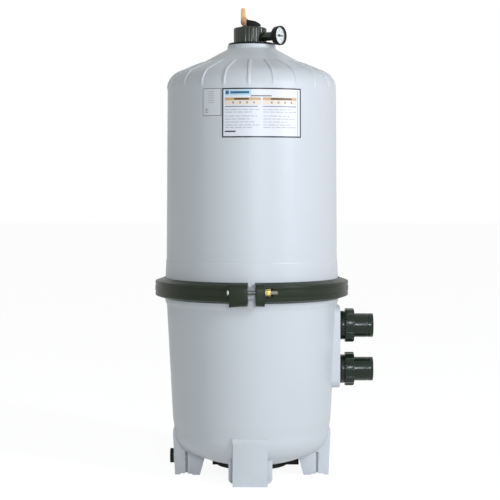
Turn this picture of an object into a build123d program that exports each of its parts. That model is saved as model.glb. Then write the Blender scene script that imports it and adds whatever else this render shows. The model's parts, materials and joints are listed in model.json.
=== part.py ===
from build123d import *

import os
from math import atan2, cos, degrees, radians, sin, sqrt

# Cartridge filter for a pool or spa: a two-piece tank held by a band clamp, four pleated cartridges
# between two manifolds, an air relief valve with a pressure gauge, and two union ports.
#
# Millimetres. The tank's axis is Z, the floor is z = 0, the ports point along +X and the front is -Y.

os.makedirs("parts", exist_ok=True)

# Tank
WALL = 6.0
BASE_R = 243.0  # outside, where the bottom dome starts
RIM_R = 263.0  # outside, just under the lower flange
DOME_Z = 133.0  # height of the bottom dome's widest circle
DOME_DEPTH = 110.0
KNUCKLE_R = 70.0
JOINT_Z = 577.0  # the plane where the two halves meet
FLANGE_R = 287.0
FLANGE_ROOT_R = 268.0
FLANGE_ROOT_H = 20.3  # from the joint plane to where the flange meets the tank
FLANGE_SLOPE = 1 / 3  # rise of the flange's back per millimetre inwards
FLANGE_CHAMFER = 4.0
FLARE_DROP = 53.0  # the rim starts to flare this far under the joint plane
FLARE_FULL_DROP = 41.0
SEAL_R = 272.0
SEAL_SECTION_R = 3.4
SKIRT_R = 266.0
SKIRT_TOP_Z = 662.0
SKIRT_STEP = 2.5
BODY_R = 259.0  # outside, under the shoulder
SHOULDER_Z = 1223.5  # corner of the shoulder before rounding
SHOULDER_RADIUS = 60.0
CONE_R = 150.0
CONE_Z = 1269.0
CONE_BLEND = 60.0
NECK_R = 74.5
NECK_FOOT_Z = 1310.0
NECK_TOP_Z = 1322.0
NECK_BORE_R = 60.0
NECK_BORE_FOOT_Z = 1300.0
NECK_BLEND = 14.0
RIB_COUNT = 22
RIB_WIDTH = 7.0
RIB_HEIGHT = 3.0
RIB_INNER_R = 150.0
RIB_PHASE = -2.0

# Legs
LEG_TOP_Z = 144.0
LEG_FACE_R = 241.5
LEG_FOOT_R = 237.0
LEG_BOX_W = 104.0
LEG_BOX_BACK_R = 205.0
LEG_STEP_R = 197.0
LEG_WIDTH = 131.0
LEG_INNER_R = 160.0  # where the flanges end, at the floor
LEG_INNER_TOP_R = 147.0
LEG_INNER_TOP_Z = 46.0
LEG_HIDDEN_R = 107.0  # the flanges run in under the dome as far as this
LEG_WALL = 8.0
LEG_FOOT_CHAMFER = 14.0
LEG_ARCH = 4.0  # height of the relief between the feet
LEG_FOOT_OUT = 14.0  # length of the outer feet
LEG_FOOT_IN = 22.0
LEG_ARCH_RUN = 4.0

# Ports
PORT_Z = {"inlet": 458.0, "outlet": 322.0}
PAD_X = 272.5
PAD_WIDTH = 112.0
PAD_LOW_Z = 267.0
PAD_HIGH_Z = 521.0
PAD_CORNER = 30.0
PORT_SEAT_X = 238.0  # the inner face that the locknut bears on
PORT_BOSS_R = 47.0
PIPE_BORE_R = 26.0
BULKHEAD_TUBE_R = 31.0
BULKHEAD_THREAD_R = 42.0
BULKHEAD_COLLAR_R = 44.5
BULKHEAD_COLLAR_T = 12.5
BULKHEAD_END_X = 306.0
BULKHEAD_INNER_X = 218.0
GASKET_T = 3.0
LOCKNUT_T = 16.0
LOCKNUT_FLATS = 84.0
UNION_NUT_R = 52.0
UNION_NUT_LENGTH = 28.0
UNION_LIP_T = 5.0
UNION_RIBS = 16
UNION_RIB_DEPTH = 2.5
TAIL_R = 37.0
TAIL_FLANGE_R = 41.0
TAIL_FLANGE_T = 6.0
TAIL_END_X = 376.0
SOCKET_R = 30.25  # for 60.3 mm pipe
SOCKET_DEPTH = 38.0
O_RING_R = 34.0
O_RING_SECTION_R = 2.4

# Drain
DRAIN_Z = 50.0
DRAIN_BOSS_R = 24.0
DRAIN_BORE_R = 17.0
DRAIN_FACE_X = -243.0
DRAIN_INNER_X = -125.0
DRAIN_GASKET_T = 2.5
DRAIN_HEAD_R = 22.8
DRAIN_HEAD_T = 8.5
DRAIN_SHANK = 20.0
DRAIN_GRIPS = 18
DRAIN_GRIP_R = 1.5
DRAIN_RECESS_R = 9.0  # the key's square recess, from its middle to a corner
DRAIN_RECESS_T = 6.0

# Cradle under the dome
CRADLE_WIDTH = 44.0
CRADLE_REACH = 146.0
CRADLE_LEFT_REACH = 122.0
CRADLE_HUB_R = 111.0
CRADLE_ARM_Z = 24.5
CRADLE_HUB_Z = 18.5
CRADLE_TOP_Z = 52.0

# Clamp
CLAMP_R = 299.0
CLAMP_LIP_R = 270.0
CLAMP_WALL = 11.0
CLAMP_FACE_HALF_H = 21.5
CLAMP_HALF_H = 31.0
CLAMP_BAND = 100.0  # half the height of the slab that holds the whole clamp
CLAMP_ROUND = 4.0
CLAMP_EDGE_R = 272.0  # where the sloping top and bottom end
CLAMP_GROOVE = 1.6
CLAMP_GAP_LEFT = 12.0
CLAMP_GAP_RIGHT = 11.0
CLAMP_CLEAR = 0.4
LUG_FRONT = 313.0
LUG_BACK = 286.0
LUG_ROUND = 20.0
LUG_TOP = 29.5  # from the joint plane to the lug's top
LUG_LEFT_END = 66.0
LUG_RIGHT_END = 38.0
LUG_DROP = 36.0  # from the joint plane to the lug's underside
POCKET_END = 62.0  # where the nut's pocket ends in the right half
POCKET_DEPTH = 60.0
BOLT_R = 6.0
BOLT_Y = -299.5
BOLT_DZ = 4.0  # the bolt's height above the joint plane
BOLT_HEAD_FLATS = 15.0
BOLT_HEAD_T = 6.0
NUT_FLATS = 20.0
NUT_T = 14.5
WASHER_T = 2.0
WASHER_R = 11.6
HINGE_Y = 309.0
HINGE_KNUCKLE_R = 8.5
HINGE_PIN_R = 4.0
HINGE_GAP = 10.0
HINGE_KNUCKLE_H = 17.0
HINGE_KNUCKLE_GAP = 0.5
HINGE_REACH = 22.0  # how far the knuckles' roots spread along the band
BOLT_END_X = 75.0
BOLT_SLOT = 2.0  # the right lug's slot is this much wider than the bolt, each way
WASHER_GAP = 0.5
POCKET_CLEAR = 0.5

# Cartridges
CARTRIDGE_OFFSET = 90.0
CARTRIDGE_LOW_Z = 212.0
CARTRIDGE_HIGH_Z = 1118.0
CARTRIDGE_CAP_R = 88.5
CARTRIDGE_CAP_T = 14.0
CARTRIDGE_BORE_R = 36.0
CORE_R = 43.0
CORE_WALL = 3.0
PLEAT_OUT_R = 84.0
PLEAT_IN_R = 74.0
PLEAT_COUNT = 48
MEDIA_BORE_R = 46.0

# Manifolds and inside plumbing
MANIFOLD_T = 34.0
MANIFOLD_R = 42.0
MANIFOLD_HUB_R = 48.0
MANIFOLD_ARM_W = 46.0
SPIGOT_R = 35.5
SPIGOT_H = 12.0
RISER_X = 190.0
RISER_WALL = 4.0
DIFFUSER_LOW_Z = 430.0
RISER_R = 27.0
DIFFUSER_TOP_Z = 540.0
TIE_ROD_R = 7.0
TIE_NUT_R = 24.0
TIE_NUT_T = 18.0
STRAINER_R = 15.0
STRAINER_TOP_Z = 1236.0
STRAINER_WALL = 3.0
STRAINER_SLOT_W = 5.0
STRAINER_SLOT_H = 6.0
STRAINER_SLOT_Z = 18.0  # height of the lowest slots above the nut
STRAINER_SLOT_STEP = 12.0
POST_R = 20.0

# Air relief valve
PLATE_R = 72.0
PLATE_T = 6.0
CAP_R = 51.0
CAP_TOP_Z = 1376.0
CAP_GRIPS = 26
CAP_GRIP_R = 3.0
CAP_EDGE = 4.0
PLUG_R = 59.7  # the part of the valve body that enters the neck
PLUG_LOW_Z = 1296.0
PLUG_BORE_R = 40.0
NECK_RING_Z = 1315.0
NECK_RING_SECTION_R = 2.2
CHAMBER_TOP_Z = 1345.0
SPRING_POCKET_R = 9.5
SPRING_POCKET_H = 21.0
SPRING_R = 6.8
SPRING_WIRE_R = 0.9
SPRING_TURNS = 5
VENT_R = 3.0
VENT_X = 10.0
VALVE_X = -22.5
PIVOT_Z = 1396.6
STEM_R = 4.0
STEM_HEAD = 4.0  # how far the stem stands above the pivot
VALVE_SEAL_R = 13.0
VALVE_SEAL_T = 4.0
STEM_DISC_R = 12.0
STEM_DISC_T = 3.0
LEVER_WIDTH = 20.0
LEVER_HUB_R = 11.5
LEVER_ARM_W = 14.0
LEVER_ARM_X = -27.0
LEVER_TOP_Z = 1437.0
LEVER_PIN_R = 1.6
CAM_OFFSET = 2.6  # the hub's centre is this far below its pivot
CAM_SEAT_DROP = 15.0  # from the pivot to the boss the cam rides on
CAM_SEAT_R = 10.0
SLOT_RISE = 6.0  # how far the lever's fork reaches above the pivot
HOOD_BACK_X = -7.0
HOOD_TIP_X = 28.0
HOOD_TOP_Z = 1400.5
HOOD_CHEEK_X = -16.0  # the hood's sides run on past the lever's hub
HOOD_WIDTH = 26.0
HOOD_WALL = 2.5
HOOD_REACH = 40.0  # of the cutter that opens the hood behind its back wall

# Gauge
GAUGE_AZIMUTH = -37.0  # of its axis, from +X
GAUGE_Z = 1346.5
GAUGE_STUB_R = 13.5
GAUGE_STUB_ROOT = 44.0
GAUGE_BACK = 90.0  # distances from the tank's axis, along the gauge's own axis
GAUGE_FRONT = 113.0
GAUGE_R = 28.0
GAUGE_BEZEL_R = 29.5
GAUGE_WALL = 2.5
GAUGE_DIAL_AT = 104.0
GAUGE_DIAL_T = 1.0
GAUGE_LENS_T = 2.0
GAUGE_LIP_T = 3.0
GAUGE_BEZEL_DEPTH = 11.0
GAUGE_STEM_R = 6.5
GAUGE_STEM_ROOT = 60.0
POINTER_T = 1.2
POINTER_LENGTH = 20.0
POINTER_HUB_R = 3.6
POINTER_PIN_R = 1.2

# Labels
LABEL_T = 0.6
MAIN_LABEL = (-19.4, 33.6, 1031.0, 1175.0)  # degrees from the front, then heights
SIDE_LABEL = (-33.4, -20.0, 1095.0, 1175.0)

FAR = 400.0  # further than anything on the part reaches sideways
FIT = 0.2
RUN = 0.06  # radial clearance of everything that turns or slides in a hole
CORNERS = [(1, 1), (-1, 1), (-1, -1), (1, -1)]

GAUGE_OUT = Vector(cos(radians(GAUGE_AZIMUTH)), sin(radians(GAUGE_AZIMUTH)), 0)
GAUGE_RIGHT = Vector(-GAUGE_OUT.Y, GAUGE_OUT.X, 0)
UNDER_LIP = FLANGE_ROOT_H - FLANGE_SLOPE * (CLAMP_LIP_R - FLANGE_ROOT_R)


def write(piece, node):
    piece.label = node
    export_step(piece, f"parts/{node}.step")


def outer_r(z):
    """Outside radius of the lower tank between the dome and the rim."""
    return BASE_R + (RIM_R - BASE_R) * (z - DOME_Z) / (JOINT_Z - FLARE_DROP - DOME_Z)


def turned(points):
    """A closed outline of (radius, height) pairs, turned about the tank's axis."""
    with BuildPart() as form:
        with BuildSketch(Plane.XZ):
            with BuildLine():
                Polyline(*points, close=True)
            make_face()
        revolve(axis=Axis.Z)
    return form.part


def turned_x(points, height):
    """A closed outline of (x, radius) pairs, turned about a level axis along X at that height."""
    with BuildPart() as form:
        with BuildSketch(Plane.XZ):
            with BuildLine():
                Polyline(*[(x, height + r) for x, r in points], close=True)
            make_face()
        revolve(axis=Axis((0, 0, height), (1, 0, 0)))
    return form.part


def cylinder_on(plane, radius, length):
    """A solid cylinder that starts on the plane and runs along its normal."""
    with BuildPart() as form:
        with BuildSketch(plane):
            Circle(radius)
        extrude(amount=length)
    return form.part


def plane_x(x, height, y=0):
    return Plane(origin=(x, y, height), x_dir=(0, 1, 0), z_dir=(1, 0, 0))


def gauge_plane(distance):
    return Plane(
        origin=GAUGE_OUT * distance + Vector(0, 0, GAUGE_Z), x_dir=GAUGE_RIGHT, z_dir=GAUGE_OUT
    )


def make_lower_form(inset):
    """The lower tank's turned form, shrunk inwards by inset. Its dome is a crown arc and a knuckle arc."""
    base, rim = BASE_R - inset, RIM_R - inset
    depth, knuckle = DOME_DEPTH - inset, KNUCKLE_R - inset
    ring = base - knuckle
    crown = (ring**2 + depth**2 - knuckle**2) / (2 * (depth - knuckle))
    swing = degrees(atan2(ring, crown - depth))
    with BuildPart() as form:
        with BuildSketch(Plane.XZ):
            with BuildLine():
                CenterArc((0, DOME_Z + crown - depth), crown, 270, swing)
                CenterArc((ring, DOME_Z), knuckle, 270 + swing, 90 - swing)
                Polyline((base, DOME_Z), (rim, JOINT_Z - FLARE_DROP), (rim, JOINT_Z), (0, JOINT_Z))
                Line((0, JOINT_Z), (0, DOME_Z - DOME_DEPTH + inset))
            make_face()
        revolve(axis=Axis.Z)
    return form.part


def upper_outline(inset):
    """The upper tank's outline as (radius, height) corners; the last one is past the neck's end."""
    neck, foot = (NECK_R, NECK_FOOT_Z) if inset == 0 else (NECK_BORE_R, NECK_BORE_FOOT_Z)
    return [
        (SKIRT_R - inset, JOINT_Z),
        (SKIRT_R - inset, SKIRT_TOP_Z),
        (SKIRT_R - SKIRT_STEP - inset, SKIRT_TOP_Z + 4),
        (BODY_R - inset, SHOULDER_Z - inset * 0.66),
        (CONE_R, CONE_Z - inset * 1.1),
        (neck, foot),
        (neck, NECK_TOP_Z),
    ]


def make_upper_form(inset):
    corners = upper_outline(inset)
    radii = [1.5, 1.5, SHOULDER_RADIUS - inset, CONE_BLEND, NECK_BLEND]
    with BuildPart() as form:
        with BuildSketch(Plane.XZ):
            with BuildLine():
                FilletPolyline(*corners, radius=radii)
                Polyline(corners[-1], (0, corners[-1][1]), (0, JOINT_Z), corners[0])
            make_face()
        revolve(axis=Axis.Z)
    return form.part


def make_flange(side):
    """One tank flange; side is 1 above the joint plane and -1 below it."""
    rim_h = FLANGE_ROOT_H - FLANGE_SLOPE * (FLANGE_R - FLANGE_ROOT_R)
    inner = RIM_R - WALL
    return turned(
        [
            (inner, JOINT_Z),
            (FLANGE_R - FLANGE_CHAMFER, JOINT_Z),
            (FLANGE_R, JOINT_Z + side * FLANGE_CHAMFER),
            (FLANGE_R, JOINT_Z + side * rim_h),
            (FLANGE_ROOT_R, JOINT_Z + side * FLANGE_ROOT_H),
            (inner, JOINT_Z + side * FLANGE_ROOT_H),
        ]
    )


# Tank, lower half
lower_form = make_lower_form(0)
lower_cavity = make_lower_form(WALL)
lower_flange = make_flange(-1)
flare = turned(
    [
        (RIM_R - WALL, JOINT_Z - FLARE_DROP),
        (RIM_R, JOINT_Z - FLARE_DROP),
        (FLANGE_ROOT_R, JOINT_Z - FLARE_FULL_DROP),
        (FLANGE_ROOT_R, JOINT_Z - FLANGE_ROOT_H),
        (RIM_R - WALL, JOINT_Z - FLANGE_ROOT_H),
    ]
)
with BuildPart() as seal_groove:
    with BuildSketch(Plane.XZ):
        with Locations((SEAL_R, JOINT_Z)):
            Rectangle(2 * SEAL_SECTION_R + FIT, 2 * SEAL_SECTION_R + FIT)
    revolve(axis=Axis.Z)


def leg_plan(inset):
    """The leg on +X seen from above, a box with a flange each side, moved inwards by inset."""
    box, wide = LEG_BOX_W / 2 - inset, LEG_WIDTH / 2 - inset
    half = [
        (LEG_FACE_R - inset, box),
        (LEG_BOX_BACK_R - inset, box),
        (LEG_STEP_R - inset, wide),
        (LEG_HIDDEN_R, wide),
    ]
    return half + [(x, -y) for x, y in reversed(half)]


with BuildPart() as leg:
    with BuildSketch():
        with BuildLine():
            Polyline(*leg_plan(0), close=True)
        make_face()
    extrude(amount=LEG_TOP_Z)
    with BuildSketch(Plane.XY.offset(-1)):
        with BuildLine():
            Polyline(*leg_plan(LEG_WALL), close=True)
        make_face()
    extrude(amount=LEG_TOP_Z - LEG_WALL, mode=Mode.SUBTRACT)
    # side profile: a battered outer face and a raked inner edge
    with BuildSketch(Plane.XZ):
        with BuildLine():
            Polyline(
                (LEG_INNER_R, 0),
                (LEG_FOOT_R, 0),
                (LEG_FACE_R, LEG_TOP_Z),
                (LEG_HIDDEN_R, LEG_TOP_Z),
                (LEG_HIDDEN_R, LEG_INNER_TOP_Z),
                (LEG_INNER_TOP_R, LEG_INNER_TOP_Z),
                close=True,
            )
        make_face()
    extrude(amount=LEG_WIDTH, both=True, mode=Mode.INTERSECT)
    # an arched relief between the feet
    with BuildSketch(Plane.XZ):
        with BuildLine():
            Polyline(
                (LEG_INNER_R + LEG_FOOT_IN, -1),
                (LEG_FOOT_R - LEG_FOOT_OUT, -1),
                (LEG_FOOT_R - LEG_FOOT_OUT - LEG_ARCH_RUN, LEG_ARCH),
                (LEG_INNER_R + LEG_FOOT_IN + LEG_ARCH_RUN, LEG_ARCH),
                close=True,
            )
        make_face()
    extrude(amount=LEG_WIDTH, both=True, mode=Mode.SUBTRACT)
    # the flanges' lower outer corners are cut off
    with BuildSketch(Plane.YZ):
        for side in (1, -1):
            with BuildLine():
                Polyline(
                    (side * (LEG_WIDTH / 2 + 1), -1),
                    (side * (LEG_WIDTH / 2 + 1), LEG_FOOT_CHAMFER),
                    (side * LEG_BOX_W / 2, -1),
                    close=True,
                )
            make_face()
    extrude(amount=LEG_FACE_R + 10, mode=Mode.SUBTRACT)

pad_start = outer_r(PAD_LOW_Z) - 20
with BuildPart() as lower_tank:
    add(lower_form)
    add(lower_flange)
    add(flare)
    with PolarLocations(0, 4):
        add(leg.part)
    # the flat pad behind the two ports
    with BuildSketch(Plane.YZ.offset(pad_start)):
        with Locations((0, (PAD_LOW_Z + PAD_HIGH_Z) / 2)):
            RectangleRounded(PAD_WIDTH, PAD_HIGH_Z - PAD_LOW_Z, PAD_CORNER)
    extrude(amount=PAD_X - pad_start)
    # the drain's boss runs through the left leg
    with BuildSketch(Plane.YZ.offset(DRAIN_FACE_X)):
        with Locations((0, DRAIN_Z)):
            Circle(DRAIN_BOSS_R)
    extrude(amount=DRAIN_INNER_X - DRAIN_FACE_X)
    add(lower_cavity, mode=Mode.SUBTRACT)
    for height in PORT_Z.values():
        with BuildSketch(Plane.YZ.offset(PORT_SEAT_X)):
            with Locations((0, height)):
                Circle(PORT_BOSS_R)
        extrude(amount=PAD_X - PORT_SEAT_X - 1)
        with BuildSketch(Plane.YZ.offset(PORT_SEAT_X - 20)):
            with Locations((0, height)):
                Circle(BULKHEAD_TUBE_R + FIT)
        extrude(amount=PAD_X - PORT_SEAT_X + 40, mode=Mode.SUBTRACT)
    with BuildSketch(Plane.YZ.offset(DRAIN_FACE_X - 1)):
        with Locations((0, DRAIN_Z)):
            Circle(DRAIN_BORE_R)
    extrude(amount=DRAIN_INNER_X - DRAIN_FACE_X + 30, mode=Mode.SUBTRACT)
    add(seal_groove.part, mode=Mode.SUBTRACT)
write(lower_tank.part, "lower_tank")

# Tank, upper half
upper_form = make_upper_form(0)
upper_cavity = make_upper_form(WALL)
upper_flange = make_flange(1)


def shoulder_middle():
    """The point half-way round the shoulder's arc, the outward direction there, and the arc's centre."""
    corner = Vector(BODY_R, SHOULDER_Z)
    down = (Vector(SKIRT_R - SKIRT_STEP, SKIRT_TOP_Z + 4) - corner).normalized()
    up = (Vector(CONE_R, CONE_Z) - corner).normalized()
    inward = (down + up).normalized()
    half_angle = radians(down.get_angle(up)) / 2
    centre = corner + inward * (SHOULDER_RADIUS / sin(half_angle))
    return centre - inward * SHOULDER_RADIUS, inward * -1, centre


middle, outward, shoulder_centre = shoulder_middle()
crest = middle + outward * RIB_HEIGHT
cone_slope = (CONE_Z - SHOULDER_Z) / (BODY_R - CONE_R)
rib_start = (RIB_INNER_R, CONE_Z - cone_slope * (RIB_INNER_R - CONE_R) - 1)
rib_end = (BODY_R - 1, shoulder_centre.Y - 6)
low_turn = radians(16)
with BuildPart() as rib:
    with BuildSketch(Plane.XZ):
        with BuildLine():
            Spline(
                rib_start,
                ((RIB_INNER_R + crest.X) / 2, (CONE_Z + crest.Y) / 2 + RIB_HEIGHT),
                (crest.X, crest.Y),
                (
                    shoulder_centre.X + (SHOULDER_RADIUS + RIB_HEIGHT) * cos(low_turn),
                    shoulder_centre.Y + (SHOULDER_RADIUS + RIB_HEIGHT) * sin(low_turn),
                ),
                rib_end,
            )
            Polyline(rib_end, (BODY_R - 20, shoulder_centre.Y - 10), (RIB_INNER_R, CONE_Z - 15), rib_start)
        make_face()
    extrude(amount=RIB_WIDTH / 2, both=True)

with BuildPart() as upper_tank:
    add(upper_form)
    add(upper_flange)
    with PolarLocations(0, RIB_COUNT, start_angle=RIB_PHASE - 90):
        add(rib.part)
    add(upper_cavity, mode=Mode.SUBTRACT)
    add(seal_groove.part, mode=Mode.SUBTRACT)
write(upper_tank.part, "upper_tank")

with BuildPart(Plane.XY.offset(JOINT_Z)) as tank_o_ring:
    Torus(SEAL_R, SEAL_SECTION_R)
write(tank_o_ring.part, "tank_o_ring")

# Cradle: a round pan with three long arms and a short one that stops at the drain's boss
with BuildPart() as base_cradle:
    with BuildSketch(Plane.XY.offset(CRADLE_HUB_Z)):
        Circle(CRADLE_HUB_R)
    extrude(amount=CRADLE_TOP_Z - CRADLE_HUB_Z)
    with BuildSketch(Plane.XY.offset(CRADLE_ARM_Z)):
        with Locations(((CRADLE_REACH - CRADLE_LEFT_REACH) / 2, 0)):
            Rectangle(CRADLE_REACH + CRADLE_LEFT_REACH, CRADLE_WIDTH)
        Rectangle(CRADLE_WIDTH, 2 * CRADLE_REACH)
    extrude(amount=CRADLE_TOP_Z - CRADLE_ARM_Z)
    add(lower_form, mode=Mode.SUBTRACT)
write(base_cradle.part, "base_cradle")

# Clamp: two half bands hinged at the back and drawn together by a bolt at the front
clamp_core = CLAMP_R - CLAMP_WALL
core_h = FLANGE_ROOT_H - FLANGE_SLOPE * (clamp_core - FLANGE_ROOT_R) + CLAMP_CLEAR
lip_h = UNDER_LIP + CLAMP_CLEAR
clamp_cavity = turned(
    [
        (CLAMP_LIP_R - 30, JOINT_Z - 2 * CLAMP_HALF_H),
        (CLAMP_LIP_R, JOINT_Z - 2 * CLAMP_HALF_H),
        (CLAMP_LIP_R, JOINT_Z - lip_h),
        (clamp_core, JOINT_Z - core_h),
        (clamp_core, JOINT_Z + core_h),
        (CLAMP_LIP_R, JOINT_Z + lip_h),
        (CLAMP_LIP_R, JOINT_Z + 2 * CLAMP_HALF_H),
        (CLAMP_LIP_R - 30, JOINT_Z + 2 * CLAMP_HALF_H),
    ]
)
groove_rise = CLAMP_FACE_HALF_H / 2
with BuildPart() as clamp_ring:
    with BuildSketch(Plane.XZ):
        with BuildLine():
            FilletPolyline(
                (CLAMP_LIP_R - 10, JOINT_Z - CLAMP_HALF_H),
                (CLAMP_EDGE_R, JOINT_Z - CLAMP_HALF_H),
                (CLAMP_R, JOINT_Z - CLAMP_FACE_HALF_H),
                (CLAMP_R, JOINT_Z + CLAMP_FACE_HALF_H),
                (CLAMP_EDGE_R, JOINT_Z + CLAMP_HALF_H),
                (CLAMP_LIP_R - 10, JOINT_Z + CLAMP_HALF_H),
                radius=CLAMP_ROUND,
            )
            Line((CLAMP_LIP_R - 10, JOINT_Z + CLAMP_HALF_H), (CLAMP_LIP_R - 10, JOINT_Z - CLAMP_HALF_H))
        make_face()
        with Locations((CLAMP_R, JOINT_Z + groove_rise), (CLAMP_R, JOINT_Z - groove_rise)):
            Rectangle(2 * CLAMP_GROOVE, 3 * CLAMP_GROOVE, mode=Mode.SUBTRACT)
    revolve(axis=Axis.Z)

knuckle_step = HINGE_KNUCKLE_H + HINGE_KNUCKLE_GAP
knuckle_low = JOINT_Z - HINGE_KNUCKLE_H / 2
nut_z = JOINT_Z + BOLT_DZ


def make_clamp_half(side, gap, lug_end, knuckles):
    """Half of the clamp on the side of X given by side, with its lug and its hinge knuckles."""
    with BuildPart() as half:
        add(clamp_ring.part)
        with BuildSketch(Plane.XY.offset(JOINT_Z - CLAMP_BAND)):
            with Locations((side * (gap + FAR / 2), -FAR / 2)):
                Rectangle(FAR, FAR)
            with Locations((side * (HINGE_GAP / 2 + FAR / 2), FAR / 2)):
                Rectangle(FAR, FAR)
        extrude(amount=2 * CLAMP_BAND, mode=Mode.INTERSECT)
        # the lug that the bolt passes through
        with BuildSketch(Plane.YZ.offset(side * gap)):
            with Locations((-(LUG_FRONT + LUG_BACK) / 2, JOINT_Z + (LUG_TOP - LUG_DROP) / 2)):
                Rectangle(LUG_FRONT - LUG_BACK, LUG_TOP + LUG_DROP)
            fillet(vertices().group_by(Axis.X)[0], LUG_ROUND)
        extrude(amount=side * (lug_end - gap))
        for low in knuckles:
            with BuildSketch(Plane.XY.offset(low)):
                with Locations((0, HINGE_Y)):
                    Circle(HINGE_KNUCKLE_R)
                with BuildLine():
                    Polyline(
                        (0, HINGE_Y + HINGE_KNUCKLE_R),
                        (side * HINGE_REACH, HINGE_Y - 5),
                        (side * HINGE_REACH, CLAMP_R - 8),
                        (side * (HINGE_GAP / 2 + 1), CLAMP_R - 8),
                        (side * (HINGE_GAP / 2 + 1), HINGE_Y - HINGE_KNUCKLE_R),
                        (0, HINGE_Y - HINGE_KNUCKLE_R),
                        close=True,
                    )
                make_face()
            extrude(amount=HINGE_KNUCKLE_H)
        add(clamp_cavity, mode=Mode.SUBTRACT)
        with BuildSketch(Plane.XY.offset(JOINT_Z - CLAMP_BAND)):
            with Locations((0, HINGE_Y)):
                Circle(HINGE_PIN_R + RUN)
        extrude(amount=2 * CLAMP_BAND, mode=Mode.SUBTRACT)
    return half.part


outer_knuckles = [knuckle_low - knuckle_step, knuckle_low + knuckle_step]
left_half = make_clamp_half(-1, CLAMP_GAP_LEFT, LUG_LEFT_END, outer_knuckles)
right_half = make_clamp_half(1, CLAMP_GAP_RIGHT, LUG_RIGHT_END, [knuckle_low])
with BuildPart() as clamp_half_left:
    add(left_half)
    with BuildSketch(Plane.YZ.offset(-LUG_LEFT_END - 1)):
        with Locations((BOLT_Y, nut_z)):
            Circle(BOLT_R + RUN)
    extrude(amount=LUG_LEFT_END + 1, mode=Mode.SUBTRACT)
write(clamp_half_left.part, "clamp_half_left")

nut_corner_r = NUT_FLATS / sqrt(3)
with BuildPart() as clamp_half_right:
    add(right_half)
    with BuildSketch(Plane.YZ):
        with Locations((BOLT_Y, nut_z)):
            Rectangle(2 * (BOLT_R + BOLT_SLOT), 2 * (BOLT_R + FIT))
    extrude(amount=BOLT_END_X + 20, mode=Mode.SUBTRACT)
    with Locations((LUG_RIGHT_END, BOLT_Y + nut_corner_r + POCKET_CLEAR, nut_z)):
        Box(
            POCKET_END - LUG_RIGHT_END,
            POCKET_DEPTH,
            2 * (nut_corner_r + POCKET_CLEAR),
            align=(Align.MIN, Align.MAX, Align.CENTER),
            mode=Mode.SUBTRACT,
        )
write(clamp_half_right.part, "clamp_half_right")

pin_length = 3 * HINGE_KNUCKLE_H + 2 * HINGE_KNUCKLE_GAP + 4
with BuildPart() as clamp_hinge_pin:
    with BuildSketch(Plane.XY.offset(JOINT_Z - pin_length / 2)):
        with Locations((0, HINGE_Y)):
            Circle(HINGE_PIN_R)
    extrude(amount=pin_length)
write(clamp_hinge_pin.part, "clamp_hinge_pin")

with BuildPart() as clamp_bolt:
    with BuildSketch(Plane.YZ.offset(-LUG_LEFT_END)):
        with Locations((BOLT_Y, nut_z)):
            Circle(BOLT_R)
    extrude(amount=LUG_LEFT_END + BOLT_END_X)
    with BuildSketch(Plane.YZ.offset(-LUG_LEFT_END - BOLT_HEAD_T)):
        with Locations((BOLT_Y, nut_z)):
            RegularPolygon(BOLT_HEAD_FLATS / sqrt(3), 6)
    extrude(amount=BOLT_HEAD_T)
write(clamp_bolt.part, "clamp_bolt")

washer_x = LUG_RIGHT_END + WASHER_GAP
with BuildPart() as clamp_washer:
    with BuildSketch(Plane.YZ.offset(washer_x)):
        with Locations((BOLT_Y, nut_z)):
            Circle(WASHER_R)
            Circle(BOLT_R + RUN, mode=Mode.SUBTRACT)
    extrude(amount=WASHER_T)
write(clamp_washer.part, "clamp_washer")

with BuildPart() as clamp_nut:
    with BuildSketch(Plane.YZ.offset(washer_x + WASHER_T)):
        with Locations((BOLT_Y, nut_z)):
            RegularPolygon(nut_corner_r, 6)
            Circle(BOLT_R + RUN, mode=Mode.SUBTRACT)
    extrude(amount=NUT_T)
write(clamp_nut.part, "clamp_nut")

# Cartridges: pleated cloth round a slotted core, with a moulded cap at each end
media_low = CARTRIDGE_LOW_Z + CARTRIDGE_CAP_T
media_length = CARTRIDGE_HIGH_Z - CARTRIDGE_LOW_Z - 2 * CARTRIDGE_CAP_T


def pleat_points(x, y):
    points = []
    for step in range(2 * PLEAT_COUNT):
        turn = radians(step * 180 / PLEAT_COUNT)
        radius = PLEAT_OUT_R if step % 2 else PLEAT_IN_R
        points.append((x + radius * cos(turn), y + radius * sin(turn)))
    return points


for index, (side_x, side_y) in enumerate(CORNERS, 1):
    at = (side_x * CARTRIDGE_OFFSET, side_y * CARTRIDGE_OFFSET)
    with BuildPart() as media:
        with BuildSketch(Plane.XY.offset(media_low)):
            with BuildLine():
                Polyline(*pleat_points(*at), close=True)
            make_face()
            with Locations(at):
                Circle(MEDIA_BORE_R, mode=Mode.SUBTRACT)
        extrude(amount=media_length)
    write(media.part, f"cartridge_{index}_media")
    with BuildPart() as core:
        with BuildSketch(Plane.XY.offset(media_low)):
            with Locations(at):
                Circle(CORE_R)
                Circle(CORE_R - CORE_WALL, mode=Mode.SUBTRACT)
        extrude(amount=media_length)
    write(core.part, f"cartridge_{index}_core")
    with BuildPart() as caps:
        for low in (CARTRIDGE_LOW_Z, CARTRIDGE_HIGH_Z - CARTRIDGE_CAP_T):
            with BuildSketch(Plane.XY.offset(low)):
                with Locations(at):
                    Circle(CARTRIDGE_CAP_R)
                    Circle(CARTRIDGE_BORE_R, mode=Mode.SUBTRACT)
            extrude(amount=CARTRIDGE_CAP_T)
    write(caps.part, f"cartridge_{index}_caps")

# Manifolds
cup_places = [(x * CARTRIDGE_OFFSET, y * CARTRIDGE_OFFSET) for x, y in CORNERS]


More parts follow.
